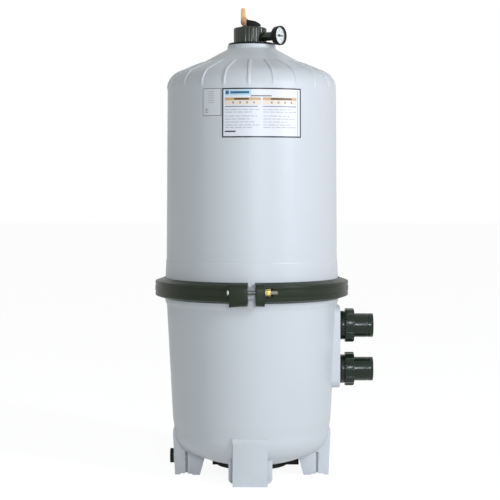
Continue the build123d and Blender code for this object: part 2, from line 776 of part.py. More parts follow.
def manifold_plan(inset, riser):
    """The manifold seen from above: a hub with an arm to each cartridge, and one to the riser."""
    with BuildSketch() as plan:
        Circle(MANIFOLD_HUB_R - inset)
        with Locations(*cup_places):
            Circle(MANIFOLD_R - inset)
        for turn in (45, 135):
            Rectangle(2 * sqrt(2) * CARTRIDGE_OFFSET, MANIFOLD_ARM_W - 2 * inset, rotation=turn)
        if riser:
            with Locations((RISER_X / 2, 0)):
                Rectangle(RISER_X, MANIFOLD_ARM_W - 2 * inset)
            with Locations((RISER_X, 0)):
                Circle(RISER_R + RISER_WALL - inset)
    return plan.sketch


lower_plan = manifold_plan(0, True)
lower_hollow = manifold_plan(RISER_WALL, True)
upper_plan = manifold_plan(0, False)
manifold_z = CARTRIDGE_LOW_Z - MANIFOLD_T
floor_z = DOME_Z - DOME_DEPTH + WALL
with BuildPart() as bottom_manifold:
    add(lower_plan.moved(Location((0, 0, manifold_z))))
    extrude(amount=MANIFOLD_T)
    with BuildSketch(Plane.XY.offset(CARTRIDGE_LOW_Z)):
        with Locations(*cup_places):
            Circle(SPIGOT_R)
    extrude(amount=SPIGOT_H)
    add(lower_hollow.moved(Location((0, 0, manifold_z + RISER_WALL))))
    extrude(amount=MANIFOLD_T - 2 * RISER_WALL, mode=Mode.SUBTRACT)
    with BuildSketch(Plane.XY.offset(manifold_z + RISER_WALL)):
        with Locations(*cup_places):
            Circle(SPIGOT_R - RISER_WALL)
        with Locations((RISER_X, 0)):
            Circle(RISER_R - RISER_WALL)
    extrude(amount=MANIFOLD_T + SPIGOT_H, mode=Mode.SUBTRACT)
    # a post stands on the tank's floor and carries the manifold
    with BuildSketch(Plane.XY.offset(floor_z + 2)):
        Circle(POST_R)
    extrude(amount=CARTRIDGE_LOW_Z - floor_z - 2)
    with BuildSketch(Plane.XY.offset(floor_z)):
        Circle(TIE_ROD_R + FIT)
    extrude(amount=CARTRIDGE_LOW_Z, mode=Mode.SUBTRACT)
write(bottom_manifold.part, "bottom_manifold")

top_plate_t = MANIFOLD_T - SPIGOT_H
with BuildPart() as top_manifold:
    add(upper_plan.moved(Location((0, 0, CARTRIDGE_HIGH_Z))))
    extrude(amount=top_plate_t)
    with BuildSketch(Plane.XY.offset(CARTRIDGE_HIGH_Z - SPIGOT_H)):
        with Locations(*cup_places):
            Circle(SPIGOT_R)
    extrude(amount=SPIGOT_H)
    with BuildSketch(Plane.XY.offset(CARTRIDGE_HIGH_Z - 1)):
        Circle(TIE_ROD_R + FIT)
    extrude(amount=MANIFOLD_T, mode=Mode.SUBTRACT)
write(top_manifold.part, "top_manifold")

tie_nut_z = CARTRIDGE_HIGH_Z + top_plate_t
with BuildPart() as tie_rod:
    with BuildSketch(Plane.XY.offset(floor_z + 2)):
        Circle(TIE_ROD_R)
    extrude(amount=tie_nut_z + TIE_NUT_T + 10 - floor_z - 2)
write(tie_rod.part, "tie_rod")

with BuildPart() as tie_rod_nut:
    with BuildSketch(Plane.XY.offset(tie_nut_z)):
        RegularPolygon(TIE_NUT_R, 8)
        Circle(TIE_ROD_R + RUN, mode=Mode.SUBTRACT)
    extrude(amount=TIE_NUT_T)
write(tie_rod_nut.part, "tie_rod_nut")

strainer_z = tie_nut_z + TIE_NUT_T
with BuildPart() as air_strainer:
    with BuildSketch(Plane.XY.offset(strainer_z)):
        Circle(STRAINER_R)
    extrude(amount=STRAINER_TOP_Z - strainer_z)
    with BuildSketch(Plane.XY.offset(strainer_z)):
        Circle(STRAINER_R - STRAINER_WALL)
    extrude(amount=STRAINER_TOP_Z - strainer_z - STRAINER_WALL, mode=Mode.SUBTRACT)
    for low in range(4):
        with Locations((0, 0, strainer_z + STRAINER_SLOT_Z + STRAINER_SLOT_STEP * low)):
            Box(4 * STRAINER_R, STRAINER_SLOT_W, STRAINER_SLOT_H, mode=Mode.SUBTRACT)
            Box(STRAINER_SLOT_W, 4 * STRAINER_R, STRAINER_SLOT_H, mode=Mode.SUBTRACT)
write(air_strainer.part, "air_strainer")


def make_elbow(low, high, port_z, open_top):
    """An upright pipe inside the tank with a branch that enters its port."""
    bore_r = RISER_R - RISER_WALL
    with BuildPart() as elbow:
        with BuildSketch(Plane.XY.offset(low)):
            with Locations((RISER_X, 0)):
                Circle(RISER_R)
        extrude(amount=high - low)
        with BuildSketch(Plane.YZ.offset(RISER_X)):
            with Locations((0, port_z)):
                Circle(PIPE_BORE_R - FIT)
        extrude(amount=BULKHEAD_INNER_X + 18 - RISER_X)
        with BuildSketch(Plane.XY.offset(low + (RISER_WALL if open_top else 0))):
            with Locations((RISER_X, 0)):
                Circle(bore_r)
        extrude(amount=high - low - RISER_WALL, mode=Mode.SUBTRACT)
        with BuildSketch(Plane.YZ.offset(RISER_X)):
            with Locations((0, port_z)):
                Circle(bore_r - 2)
        extrude(amount=60, mode=Mode.SUBTRACT)
    return elbow.part


write(make_elbow(CARTRIDGE_LOW_Z, PORT_Z["outlet"] + RISER_R + 5, PORT_Z["outlet"], False), "outlet_pipe")
write(make_elbow(DIFFUSER_LOW_Z - 5, DIFFUSER_TOP_Z, PORT_Z["inlet"], True), "inlet_diffuser")

# Ports
collar_x = PAD_X + GASKET_T
thread_x = collar_x + BULKHEAD_COLLAR_T
nut_x = thread_x + 1
tail_x = BULKHEAD_END_X
groove_depth = 2 * O_RING_SECTION_R + 0.1
for port, height in PORT_Z.items():
    bulkhead = turned_x(
        [
            (BULKHEAD_INNER_X, PIPE_BORE_R),
            (BULKHEAD_INNER_X, BULKHEAD_TUBE_R),
            (collar_x, BULKHEAD_TUBE_R),
            (collar_x, BULKHEAD_COLLAR_R),
            (thread_x, BULKHEAD_COLLAR_R),
            (thread_x, BULKHEAD_THREAD_R),
            (BULKHEAD_END_X, BULKHEAD_THREAD_R),
            (BULKHEAD_END_X, O_RING_R + O_RING_SECTION_R),
            (BULKHEAD_END_X - groove_depth, O_RING_R + O_RING_SECTION_R),
            (BULKHEAD_END_X - groove_depth, O_RING_R - O_RING_SECTION_R),
            (BULKHEAD_END_X, O_RING_R - O_RING_SECTION_R),
            (BULKHEAD_END_X, PIPE_BORE_R),
        ],
        height,
    )
    write(bulkhead, f"{port}_bulkhead")

    with BuildPart() as locknut:
        with BuildSketch(Plane.YZ.offset(PORT_SEAT_X - LOCKNUT_T)):
            with Locations((0, height)):
                RegularPolygon(LOCKNUT_FLATS / sqrt(3), 6)
                Circle(BULKHEAD_TUBE_R + RUN, mode=Mode.SUBTRACT)
        extrude(amount=LOCKNUT_T)
    write(locknut.part, f"{port}_locknut")

    with BuildPart() as port_gasket:
        with BuildSketch(Plane.YZ.offset(PAD_X)):
            with Locations((0, height)):
                Circle(BULKHEAD_COLLAR_R - 1)
                Circle(BULKHEAD_TUBE_R + FIT, mode=Mode.SUBTRACT)
        extrude(amount=GASKET_T)
    write(port_gasket.part, f"{port}_gasket")

    ring_plane = plane_x(BULKHEAD_END_X - groove_depth / 2, height)
    with BuildPart(ring_plane) as o_ring:
        Torus(O_RING_R, O_RING_SECTION_R)
    write(o_ring.part, f"{port}_o_ring")

    tailpiece = turned_x(
        [
            (tail_x, PIPE_BORE_R),
            (tail_x, TAIL_FLANGE_R),
            (tail_x + TAIL_FLANGE_T, TAIL_FLANGE_R),
            (tail_x + TAIL_FLANGE_T, TAIL_R),
            (TAIL_END_X, TAIL_R),
            (TAIL_END_X, SOCKET_R),
            (TAIL_END_X - SOCKET_DEPTH, SOCKET_R),
            (TAIL_END_X - SOCKET_DEPTH, PIPE_BORE_R),
        ],
        height,
    )
    write(tailpiece, f"{port}_tailpiece")

    with BuildPart() as union_nut:
        with BuildSketch(Plane.YZ.offset(nut_x)):
            with Locations((0, height)):
                Circle(UNION_NUT_R - UNION_RIB_DEPTH)
                with PolarLocations(UNION_NUT_R - UNION_RIB_DEPTH, UNION_RIBS):
                    SlotOverall(3 * UNION_RIB_DEPTH, 2 * UNION_RIB_DEPTH, rotation=90)
        extrude(amount=UNION_NUT_LENGTH)
        with BuildSketch(Plane.YZ.offset(nut_x - 1)):
            with Locations((0, height)):
                Circle(BULKHEAD_THREAD_R + RUN)
        extrude(amount=UNION_NUT_LENGTH - UNION_LIP_T + 1, mode=Mode.SUBTRACT)
        with BuildSketch(Plane.YZ.offset(nut_x)):
            with Locations((0, height)):
                Circle(TAIL_R + RUN)
        extrude(amount=UNION_NUT_LENGTH, mode=Mode.SUBTRACT)
    write(union_nut.part, f"{port}_union_nut")

# Drain
with BuildPart() as drain_gasket:
    with BuildSketch(Plane.YZ.offset(DRAIN_FACE_X - DRAIN_GASKET_T)):
        with Locations((0, DRAIN_Z)):
            Circle(DRAIN_HEAD_R - 1)
            Circle(DRAIN_BORE_R, mode=Mode.SUBTRACT)
    extrude(amount=DRAIN_GASKET_T)
write(drain_gasket.part, "drain_gasket")

head_x = DRAIN_FACE_X - DRAIN_GASKET_T - DRAIN_HEAD_T
with BuildPart() as drain_plug:
    with BuildSketch(Plane.YZ.offset(head_x)):
        with Locations((0, DRAIN_Z)):
            Circle(DRAIN_HEAD_R - 1)
            with PolarLocations(DRAIN_HEAD_R - DRAIN_GRIP_R, DRAIN_GRIPS):
                Circle(DRAIN_GRIP_R)
    extrude(amount=DRAIN_HEAD_T)
    with BuildSketch(Plane.YZ.offset(head_x + DRAIN_HEAD_T)):
        with Locations((0, DRAIN_Z)):
            Circle(DRAIN_BORE_R - RUN)
    extrude(amount=DRAIN_SHANK)
    with BuildSketch(Plane.YZ.offset(head_x)):
        with Locations((0, DRAIN_Z)):
            RegularPolygon(DRAIN_RECESS_R, 4)
    extrude(amount=DRAIN_RECESS_T, mode=Mode.SUBTRACT)
write(drain_plug.part, "drain_plug")

# Air relief valve
valve_top_z = PIVOT_Z - CAM_SEAT_DROP
plate_top_z = NECK_TOP_Z + PLATE_T
pocket_top_z = CHAMBER_TOP_Z + SPRING_POCKET_H
stub = cylinder_on(gauge_plane(GAUGE_STUB_ROOT), GAUGE_STUB_R, GAUGE_BACK - GAUGE_STUB_ROOT)
stub_bore = cylinder_on(gauge_plane(GAUGE_STEM_ROOT), GAUGE_STEM_R + RUN, GAUGE_BACK - GAUGE_STEM_ROOT + 5)
pressure_way = cylinder_on(gauge_plane(PLUG_BORE_R - 10), VENT_R, GAUGE_BACK - PLUG_BORE_R)
with BuildPart() as relief_body:
    with BuildSketch(Plane.XY.offset(NECK_TOP_Z)):
        Circle(PLATE_R)
    extrude(amount=PLATE_T)
    with BuildSketch(Plane.XY.offset(PLUG_LOW_Z)):
        Circle(PLUG_R)
    extrude(amount=NECK_TOP_Z - PLUG_LOW_Z)
    with BuildSketch(Plane.XY.offset(plate_top_z)):
        Circle(CAP_R - CAP_GRIP_R / 2)
    extrude(amount=CAP_TOP_Z - plate_top_z)
    fillet(faces().sort_by(Axis.Z)[-1].edges(), CAP_EDGE)
    with BuildSketch(Plane.XY.offset(plate_top_z)):
        with PolarLocations(CAP_R - CAP_GRIP_R, CAP_GRIPS):
            Circle(CAP_GRIP_R)
    extrude(amount=CAP_TOP_Z - plate_top_z - CAP_EDGE)
    with BuildSketch(Plane.XY.offset(CAP_TOP_Z - 1)):
        with Locations((VALVE_X, 0)):
            Circle(CAM_SEAT_R)
    extrude(amount=valve_top_z - CAP_TOP_Z + 1)
    add(stub)
    with BuildSketch(Plane.XY.offset(PLUG_LOW_Z)):
        Circle(PLUG_BORE_R)
    extrude(amount=CHAMBER_TOP_Z - PLUG_LOW_Z, mode=Mode.SUBTRACT)
    with BuildSketch(Plane.XY.offset(CHAMBER_TOP_Z - 1)):
        with Locations((VALVE_X, 0)):
            Circle(SPRING_POCKET_R)
    extrude(amount=SPRING_POCKET_H + 1, mode=Mode.SUBTRACT)
    with BuildSketch(Plane.XY.offset(pocket_top_z - 1)):
        with Locations((VALVE_X, 0)):
            Circle(STEM_R + RUN)
    extrude(amount=valve_top_z - pocket_top_z + 2, mode=Mode.SUBTRACT)
    # a vent leads from the spring's pocket to the hood
    with BuildSketch(Plane.YZ.offset(VALVE_X)):
        with Locations((0, pocket_top_z - VENT_R)):
            Circle(VENT_R)
    extrude(amount=VENT_X - VALVE_X, mode=Mode.SUBTRACT)
    with BuildSketch(Plane.XY.offset(pocket_top_z - VENT_R)):
        with Locations((VENT_X, 0)):
            Circle(VENT_R)
    extrude(amount=20, mode=Mode.SUBTRACT)
    add(stub_bore, mode=Mode.SUBTRACT)
    add(pressure_way, mode=Mode.SUBTRACT)
    # groove of the ring that seals the neck
    with BuildSketch(Plane.XZ):
        with Locations((PLUG_R, NECK_RING_Z)):
            Rectangle(4 * NECK_RING_SECTION_R + FIT, 2 * NECK_RING_SECTION_R + FIT)
    revolve(axis=Axis.Z, mode=Mode.SUBTRACT)
write(relief_body.part, "relief_body")

with BuildPart(Plane.XY.offset(NECK_RING_Z)) as neck_o_ring:
    Torus(NECK_BORE_R - NECK_RING_SECTION_R - 0.1, NECK_RING_SECTION_R)
write(neck_o_ring.part, "neck_o_ring")

with BuildPart() as relief_plunger:
    with BuildSketch(Plane.XY.offset(CHAMBER_TOP_Z - VALVE_SEAL_T - STEM_DISC_T)):
        with Locations((VALVE_X, 0)):
            Circle(STEM_DISC_R)
    extrude(amount=STEM_DISC_T)
    with BuildSketch(Plane.XY.offset(CHAMBER_TOP_Z - VALVE_SEAL_T)):
        with Locations((VALVE_X, 0)):
            Circle(STEM_R)
    extrude(amount=PIVOT_Z + STEM_HEAD - CHAMBER_TOP_Z + VALVE_SEAL_T)
    with BuildSketch(Plane.XZ):
        with Locations((VALVE_X, PIVOT_Z)):
            Circle(LEVER_PIN_R + RUN)
    extrude(amount=STEM_R + 1, both=True, mode=Mode.SUBTRACT)
write(relief_plunger.part, "relief_plunger")

with BuildPart() as plunger_seal:
    with BuildSketch(Plane.XY.offset(CHAMBER_TOP_Z - VALVE_SEAL_T)):
        with Locations((VALVE_X, 0)):
            Circle(VALVE_SEAL_R)
            Circle(STEM_R, mode=Mode.SUBTRACT)
    extrude(amount=VALVE_SEAL_T)
write(plunger_seal.part, "plunger_seal")

spring_h = SPRING_POCKET_H - 2 * SPRING_WIRE_R - 0.2
with BuildPart() as plunger_spring:
    with BuildLine() as coil:
        Helix(
            pitch=spring_h / SPRING_TURNS,
            height=spring_h,
            radius=SPRING_R,
            center=(VALVE_X, 0, CHAMBER_TOP_Z + SPRING_WIRE_R + 0.1),
        )
    with BuildSketch(coil.line ^ 0):
        Circle(SPRING_WIRE_R)
    sweep(is_frenet=True)
write(plunger_spring.part, "plunger_spring")

with BuildPart() as relief_lever:
    with BuildSketch(Plane.XZ.offset(-LEVER_WIDTH / 2)):
        with Locations((VALVE_X, PIVOT_Z - CAM_OFFSET)):
            Circle(LEVER_HUB_R)
        with Locations((LEVER_ARM_X, (PIVOT_Z + LEVER_TOP_Z) / 2)):
            Rectangle(LEVER_ARM_W, LEVER_TOP_Z - PIVOT_Z)
        fillet(vertices().group_by(Axis.Y)[-1], 4)
    extrude(amount=LEVER_WIDTH)
    with BuildSketch(Plane.XZ.offset(-STEM_R - FIT)):
        with Locations((VALVE_X, PIVOT_Z + SLOT_RISE - 30)):
            Rectangle(3 * LEVER_HUB_R, 60)
    extrude(amount=2 * (STEM_R + FIT), mode=Mode.SUBTRACT)
    with BuildSketch(Plane.XZ):
        with Locations((VALVE_X, PIVOT_Z)):
            Circle(LEVER_PIN_R)
    extrude(amount=LEVER_WIDTH, both=True, mode=Mode.SUBTRACT)
write(relief_lever.part, "relief_lever")

with BuildPart() as lever_pin:
    with BuildSketch(Plane.XZ.offset(-LEVER_WIDTH / 2)):
        with Locations((VALVE_X, PIVOT_Z)):
            Circle(LEVER_PIN_R)
    extrude(amount=LEVER_WIDTH)
write(lever_pin.part, "lever_pin")

with BuildPart() as outlet_hood:
    with BuildSketch(Plane.XZ.offset(-HOOD_WIDTH / 2)) as hood_side:
        with BuildLine():
            Polyline(
                (HOOD_CHEEK_X, CAP_TOP_Z),
                (HOOD_CHEEK_X, HOOD_TOP_Z - 1),
                (HOOD_CHEEK_X + 3, HOOD_TOP_Z),
                (HOOD_TIP_X - 18, HOOD_TOP_Z - 4),
                (HOOD_TIP_X - 8, HOOD_TOP_Z - 9),
                (HOOD_TIP_X, HOOD_TOP_Z - 16),
                (HOOD_TIP_X, HOOD_TOP_Z - 18),
                (HOOD_TIP_X - 8, HOOD_TOP_Z - 21),
                (HOOD_TIP_X - 8, CAP_TOP_Z),
                close=True,
            )
        make_face()
    extrude(amount=HOOD_WIDTH)
    with BuildSketch(Plane.XZ.offset(-HOOD_WIDTH / 2 + HOOD_WALL)):
        with Locations((HOOD_BACK_X - HOOD_REACH / 2, CAP_TOP_Z + HOOD_REACH / 2 - 1)):
            Rectangle(HOOD_REACH, HOOD_REACH)
        with BuildLine():
            Polyline(
                (HOOD_BACK_X + HOOD_WALL, CAP_TOP_Z - 1),
                (HOOD_BACK_X + HOOD_WALL, HOOD_TOP_Z - 6),
                (HOOD_TIP_X - 18, HOOD_TOP_Z - 8),
                (HOOD_TIP_X + 2, HOOD_TOP_Z - 17),
                (HOOD_TIP_X - 12, HOOD_TOP_Z - 21),
                (HOOD_TIP_X - 12, CAP_TOP_Z - 1),
                close=True,
            )
        make_face()
    extrude(amount=HOOD_WIDTH - 2 * HOOD_WALL, mode=Mode.SUBTRACT)
write(outlet_hood.part, "outlet_hood")

# Gauge
lens_at = GAUGE_FRONT - GAUGE_LIP_T - GAUGE_LENS_T
with BuildPart() as gauge_case:
    with BuildSketch(gauge_plane(GAUGE_BACK)):
        Circle(GAUGE_R)
    extrude(amount=lens_at - GAUGE_BACK)
    with BuildSketch(gauge_plane(GAUGE_BACK + GAUGE_WALL)):
        Circle(GAUGE_R - GAUGE_WALL)
    extrude(amount=lens_at - GAUGE_BACK, mode=Mode.SUBTRACT)
    with BuildSketch(gauge_plane(GAUGE_BACK - 1)):
        Circle(GAUGE_STEM_R + RUN)
    extrude(amount=GAUGE_WALL + 2, mode=Mode.SUBTRACT)
write(gauge_case.part, "gauge_case")
write(
    cylinder_on(gauge_plane(GAUGE_STEM_ROOT), GAUGE_STEM_R, GAUGE_BACK + 6 - GAUGE_STEM_ROOT),
    "gauge_stem",
)

with BuildPart() as gauge_dial:
    with BuildSketch(gauge_plane(GAUGE_DIAL_AT - GAUGE_DIAL_T)):
        Circle(GAUGE_R - GAUGE_WALL)
        Circle(POINTER_PIN_R + RUN, mode=Mode.SUBTRACT)
    extrude(amount=GAUGE_DIAL_T)
write(gauge_dial.part, "gauge_dial")

with BuildPart() as gauge_pointer:
    with BuildSketch(gauge_plane(GAUGE_DIAL_AT + 1)):
        with BuildLine():
            Polyline(
                (-8, -2),
                (-8, 2),
                (POINTER_LENGTH, 0.7),
                (POINTER_LENGTH, -0.7),
                close=True,
            )
        make_face()
        Circle(POINTER_HUB_R)
    extrude(amount=POINTER_T)
    with BuildSketch(gauge_plane(GAUGE_DIAL_AT - GAUGE_DIAL_T - 3)):
        Circle(POINTER_PIN_R)
    extrude(amount=GAUGE_DIAL_T + 4)
write(gauge_pointer.part, "gauge_pointer")

write(cylinder_on(gauge_plane(lens_at), GAUGE_R - 0.05, GAUGE_LENS_T), "gauge_lens")
with BuildPart() as gauge_bezel:
    with BuildSketch(gauge_plane(GAUGE_FRONT - GAUGE_BEZEL_DEPTH)):
        Circle(GAUGE_BEZEL_R)
    extrude(amount=GAUGE_BEZEL_DEPTH)
    with BuildSketch(gauge_plane(GAUGE_FRONT - GAUGE_BEZEL_DEPTH)):
        Circle(GAUGE_R)
    extrude(amount=GAUGE_BEZEL_DEPTH - GAUGE_LIP_T, mode=Mode.SUBTRACT)
    with BuildSketch(gauge_plane(GAUGE_FRONT - GAUGE_BEZEL_DEPTH)):
        Circle(GAUGE_R - GAUGE_WALL - 0.5)
    extrude(amount=GAUGE_BEZEL_DEPTH, mode=Mode.SUBTRACT)
write(gauge_bezel.part, "gauge_bezel")

# Labels: thin skins on the upper tank
def body_r(z):
    """Outside radius of the upper tank's straight side."""
    start = SKIRT_TOP_Z + 4
    share = (z - start) / (SHOULDER_Z - start)
    return SKIRT_R - SKIRT_STEP + (BODY_R - SKIRT_R + SKIRT_STEP) * share


def make_label(start, end, low, high):
    """A label between two angles from the front and two heights."""
    band = turned(
        [
            (body_r(low), low),
            (body_r(low) + LABEL_T, low),
            (body_r(high) + LABEL_T, high),
            (body_r(high), high),
        ]
    )
    reach = 2 * SKIRT_R
    corners = [(reach * sin(radians(turn)), -reach * cos(radians(turn))) for turn in (start, end)]
    with BuildPart() as label:
        add(band)
        with BuildSketch(Plane.XY.offset(low - 1)):
            with BuildLine():
                Polyline((0, 0), *corners, close=True)
            make_face()
        extrude(amount=high - low + 2, mode=Mode.INTERSECT)
    return label.part


write(make_label(*MAIN_LABEL), "label_main")
write(make_label(*SIDE_LABEL), "label_side")
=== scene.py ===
import json
from math import asin, atan2, cos, degrees, hypot, pi, radians, sin, sqrt, tan

import bmesh
import bpy
from mathutils import Matrix, Vector


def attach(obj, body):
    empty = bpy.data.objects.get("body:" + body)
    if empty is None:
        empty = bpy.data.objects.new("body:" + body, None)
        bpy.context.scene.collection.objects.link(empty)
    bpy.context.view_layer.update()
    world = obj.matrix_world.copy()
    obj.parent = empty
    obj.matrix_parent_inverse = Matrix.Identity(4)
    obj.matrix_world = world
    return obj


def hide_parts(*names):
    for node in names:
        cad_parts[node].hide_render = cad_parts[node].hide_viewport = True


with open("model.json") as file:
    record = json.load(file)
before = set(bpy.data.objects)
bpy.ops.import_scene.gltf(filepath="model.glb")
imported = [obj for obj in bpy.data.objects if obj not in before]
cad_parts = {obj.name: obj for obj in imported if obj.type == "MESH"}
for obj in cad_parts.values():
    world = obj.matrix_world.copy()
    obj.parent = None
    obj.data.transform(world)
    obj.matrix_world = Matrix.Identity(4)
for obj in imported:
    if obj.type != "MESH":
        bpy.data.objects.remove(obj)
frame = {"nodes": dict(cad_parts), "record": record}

bl_info = {
    "name": "Pool cartridge filter", "version": (1, 0, 0), "blender": (4, 5, 0),
    "location": "3D View > Sidebar > Filter",
    "description": "Builds the finished surfaces of a pool cartridge filter round its packed frame",
    "category": "Object"
}

MM = 0.001
FULL_TURN = 2 * pi
X_AXIS = Vector((1, 0, 0))
Y_AXIS = Vector((0, 1, 0))
Z_AXIS = Vector((0, 0, 1))

# Sizes in millimetres that several pieces share. Heights are above the floor, and the front is -Y.
WALL = 6.0
JOINT_Z = 577.0
FLANGE_R = 287.0
DOME_Z = 133.0
DOME_DEPTH = 110.0
DOME_R = 243.0
KNUCKLE_R = 70.0
SKIRT_TOP_Z = 666.0
SKIRT_R = 263.5
BODY_R = 259.0
SHOULDER_Z = 1223.5
CONE_Z = 1269.0
RIM_Z = 1322.0
RIB_FOOT_Z = 1176.0
BOLT_Y = -299.5
BOLT_Z = 581.0
HINGE_Y = 309.0
PORT_HEIGHTS = {"inlet": 458.0, "outlet": 322.0}
DRAIN_Z = 50.0
VALVE_X = -22.5
CAP_X = -5.0
PIVOT_Z = 1396.6
GAUGE_Z = 1346.5
GAUGE_AZIMUTH = -37.0

SLOTS = {entry["node"]: entry["material_slot"] for entry in frame["record"]["subparts"]}
BODIES = {node: body for body, nodes in frame["record"]["behaviour"]["bodies"].items() for node in nodes}
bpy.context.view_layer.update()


def srgb(code):
    """A linear colour with alpha from an sRGB hex code."""
    parts = [int(code[i : i + 2], 16) / 255 for i in (0, 2, 4)]
    return tuple(c / 12.92 if c <= 0.04045 else ((c + 0.055) / 1.055) ** 2.4 for c in parts) + (1.0,)


def smoothstep(low, high, value):
    share = min(max((value - low) / (high - low), 0.0), 1.0)
    return share * share * (3 - 2 * share)


# Outlines


def rounded(corners, segments=6):
    """A chain of (across, up, radius) corners as points, each corner turned into an arc of its radius."""
    points = []
    last = len(corners) - 1
    for i, (x, y, radius) in enumerate(corners):
        here = Vector((x, y))
        if radius == 0 or i in (0, last):
            points.append(tuple(here))
            continue
        back = (Vector(corners[i - 1][:2]) - here).normalized()
        ahead = (Vector(corners[i + 1][:2]) - here).normalized()
        half = back.angle(ahead) / 2
        centre = here + (back + ahead).normalized() * (radius / sin(half))
        start = here + back * (radius / tan(half)) - centre
        end = here + ahead * (radius / tan(half)) - centre
        swing = start.angle_signed(end)
        for step in range(segments + 1):
            turn = -swing * step / segments
            points.append((
                centre.x + start.x * cos(turn) - start.y * sin(turn),
                centre.y + start.x * sin(turn) + start.y * cos(turn)
            ))
    return points


def closed_rounded(corners, segments=6):
    """As rounded, for a closed outline."""
    ring = [corners[-1], *corners, corners[0]]
    return rounded(ring, segments)[1:-1]


def arc(cx, cy, radius, start, end, steps):
    """Points round a circle between two angles in degrees."""
    turns = [radians(start + (end - start) * i / steps) for i in range(steps + 1)]
    return [(cx + radius * cos(t), cy + radius * sin(t)) for t in turns]


def refine(points, longest):
    """The same chain with no run longer than that."""
    out = [points[0]]
    for (x0, y0), (x1, y1) in zip(points, points[1:]):
        runs = max(1, int(hypot(x1 - x0, y1 - y0) / longest + 0.999))
        out += [(x0 + (x1 - x0) * i / runs, y0 + (y1 - y0) * i / runs) for i in range(1, runs + 1)]
    return out


def regular_outline(radius, sides, per_side, phase=0.0):
    """Points along a regular polygon's sides, radius across its corners."""
    points = []
    for side in range(sides):
        a = phase + FULL_TURN * side / sides
        b = phase + FULL_TURN * (side + 1) / sides
        for i in range(per_side):
            share = i / per_side
            points.append((
                radius * (cos(a) * (1 - share) + cos(b) * share),
                radius * (sin(a) * (1 - share) + sin(b) * share)
            ))
    return points


# Mesh building


def spin(bm, geom, angle, steps, **options):
    centre = {"cent": (0, 0, 0), "axis": (0, 0, 1), "dvec": (0, 0, 0)}
    bmesh.ops.spin(bm, geom=geom, angle=angle, steps=steps, **centre, **options)


def lathe(outline, steps, closed=True):
    """A bmesh of an outline of (radius, height) pairs in millimetres, turned fully about Z."""
    bm = bmesh.new()
    verts = [bm.verts.new((r * MM, 0, h * MM)) for r, h in outline]
    pairs = list(zip(verts, verts[1:])) + ([(verts[-1], verts[0])] if closed else [])
    edges = [bm.edges.new(pair) for pair in pairs]
    spin(bm, verts + edges, FULL_TURN, steps, use_merge=True)
    bmesh.ops.remove_doubles(bm, verts=bm.verts, dist=0.002 * MM)
    bmesh.ops.recalc_face_normals(bm, faces=bm.faces)
    return bm


def part_lathe(outline, start, end, steps):
    """A solid from a closed outline of (radius, height) pairs, turned about Z between two angles."""
    bm = bmesh.new()
    verts = [bm.verts.new((r * MM, 0, h * MM)) for r, h in outline]
    face = bm.faces.new(verts)
    bmesh.ops.rotate(bm, verts=verts, cent=(0, 0, 0), matrix=Matrix.Rotation(radians(start), 3, "Z"))
    spin(bm, [face, *face.edges, *verts], radians(end - start), steps)
    bmesh.ops.recalc_face_normals(bm, faces=bm.faces)
    return bm


def turned(corners, segments, steps):
    """A solid from rounded corners that start and end on the axis, turned fully about Z."""
    return lathe(rounded(corners, segments), steps, closed=False)


def turned_ring(corners, segments, steps):
    """A ring from a closed outline of rounded corners, turned fully about Z."""
    return lathe(closed_rounded(corners, segments), steps)


def prism(outline, depth, origin=(0, 0, 0), across=X_AXIS, up=Z_AXIS, steps=1):
    """A solid from an outline of (across, up) pairs, pushed depth along across x up."""
    bm = bmesh.new()
    base = Vector(origin) * MM
    face = bm.faces.new([bm.verts.new(base + (across * a + up * b) * MM) for a, b in outline])
    push = across.cross(up).normalized() * depth * MM / steps
    for _ in range(steps):
        grown = bmesh.ops.extrude_face_region(bm, geom=[face])["geom"]
        face = next(g for g in grown if isinstance(g, bmesh.types.BMFace))
        bmesh.ops.translate(bm, verts=face.verts, vec=push)
    bmesh.ops.recalc_face_normals(bm, faces=bm.faces)
    return bm


def ring_prism(outer, inner, low, high):
    """A solid between two outlines of equal length in the XY plane, from height low to high."""
    bm = bmesh.new()
    edges = []
    for outline in (outer, inner):
        verts = [bm.verts.new((x * MM, y * MM, low * MM)) for x, y in outline]
        edges += [bm.edges.new(pair) for pair in zip(verts, verts[1:] + verts[:1])]
    faces = bmesh.ops.bridge_loops(bm, edges=edges)["faces"]
    grown = bmesh.ops.extrude_face_region(bm, geom=faces)["geom"]
    moved = [g for g in grown if isinstance(g, bmesh.types.BMVert)]
    bmesh.ops.translate(bm, verts=moved, vec=(0, 0, (high - low) * MM))
    bmesh.ops.recalc_face_normals(bm, faces=bm.faces)
    return bm


def round_edges(bm, width, segments=2, sharper=30.0, chosen=lambda edge: True):
    """Bevels every edge that turns more than the angle given and is chosen."""
    edges = [
        e
        for e in bm.edges
        if len(e.link_faces) == 2 and e.calc_face_angle() > radians(sharper) and chosen(e)
    ]
    kind = {
        "offset_type": "OFFSET", "profile": 0.5, "affect": "EDGES", "material": -1, "clamp_overlap": True
    }
    bmesh.ops.bevel(bm, geom=edges, offset=width * MM, segments=segments, **kind)
    return bm


def moved(bm, matrix):
    bmesh.ops.transform(bm, matrix=matrix, verts=bm.verts)
    return bm


def joined(*parts):
    """One bmesh that holds all the parts."""
    whole = bmesh.new()
    for part in parts:
        mesh = bpy.data.meshes.new("part")
        part.to_mesh(mesh)
        part.free()
        whole.from_mesh(mesh)
        bpy.data.meshes.remove(mesh)
    return whole


def fluted(bm, count, depth, low, high, inside, sharpness=1.0):
    """Presses flutes into the side of a turned form between two heights, outside a radius."""
    for v in bm.verts:
        r = hypot(v.co.x, v.co.y) / MM
        z = v.co.z / MM
        if r > inside and low <= z <= high:
            wave = 0.5 - 0.5 * cos(atan2(v.co.y, v.co.x) * count)
            share = (r - depth * wave**sharpness) / r
            v.co.x *= share
            v.co.y *= share
    return bm


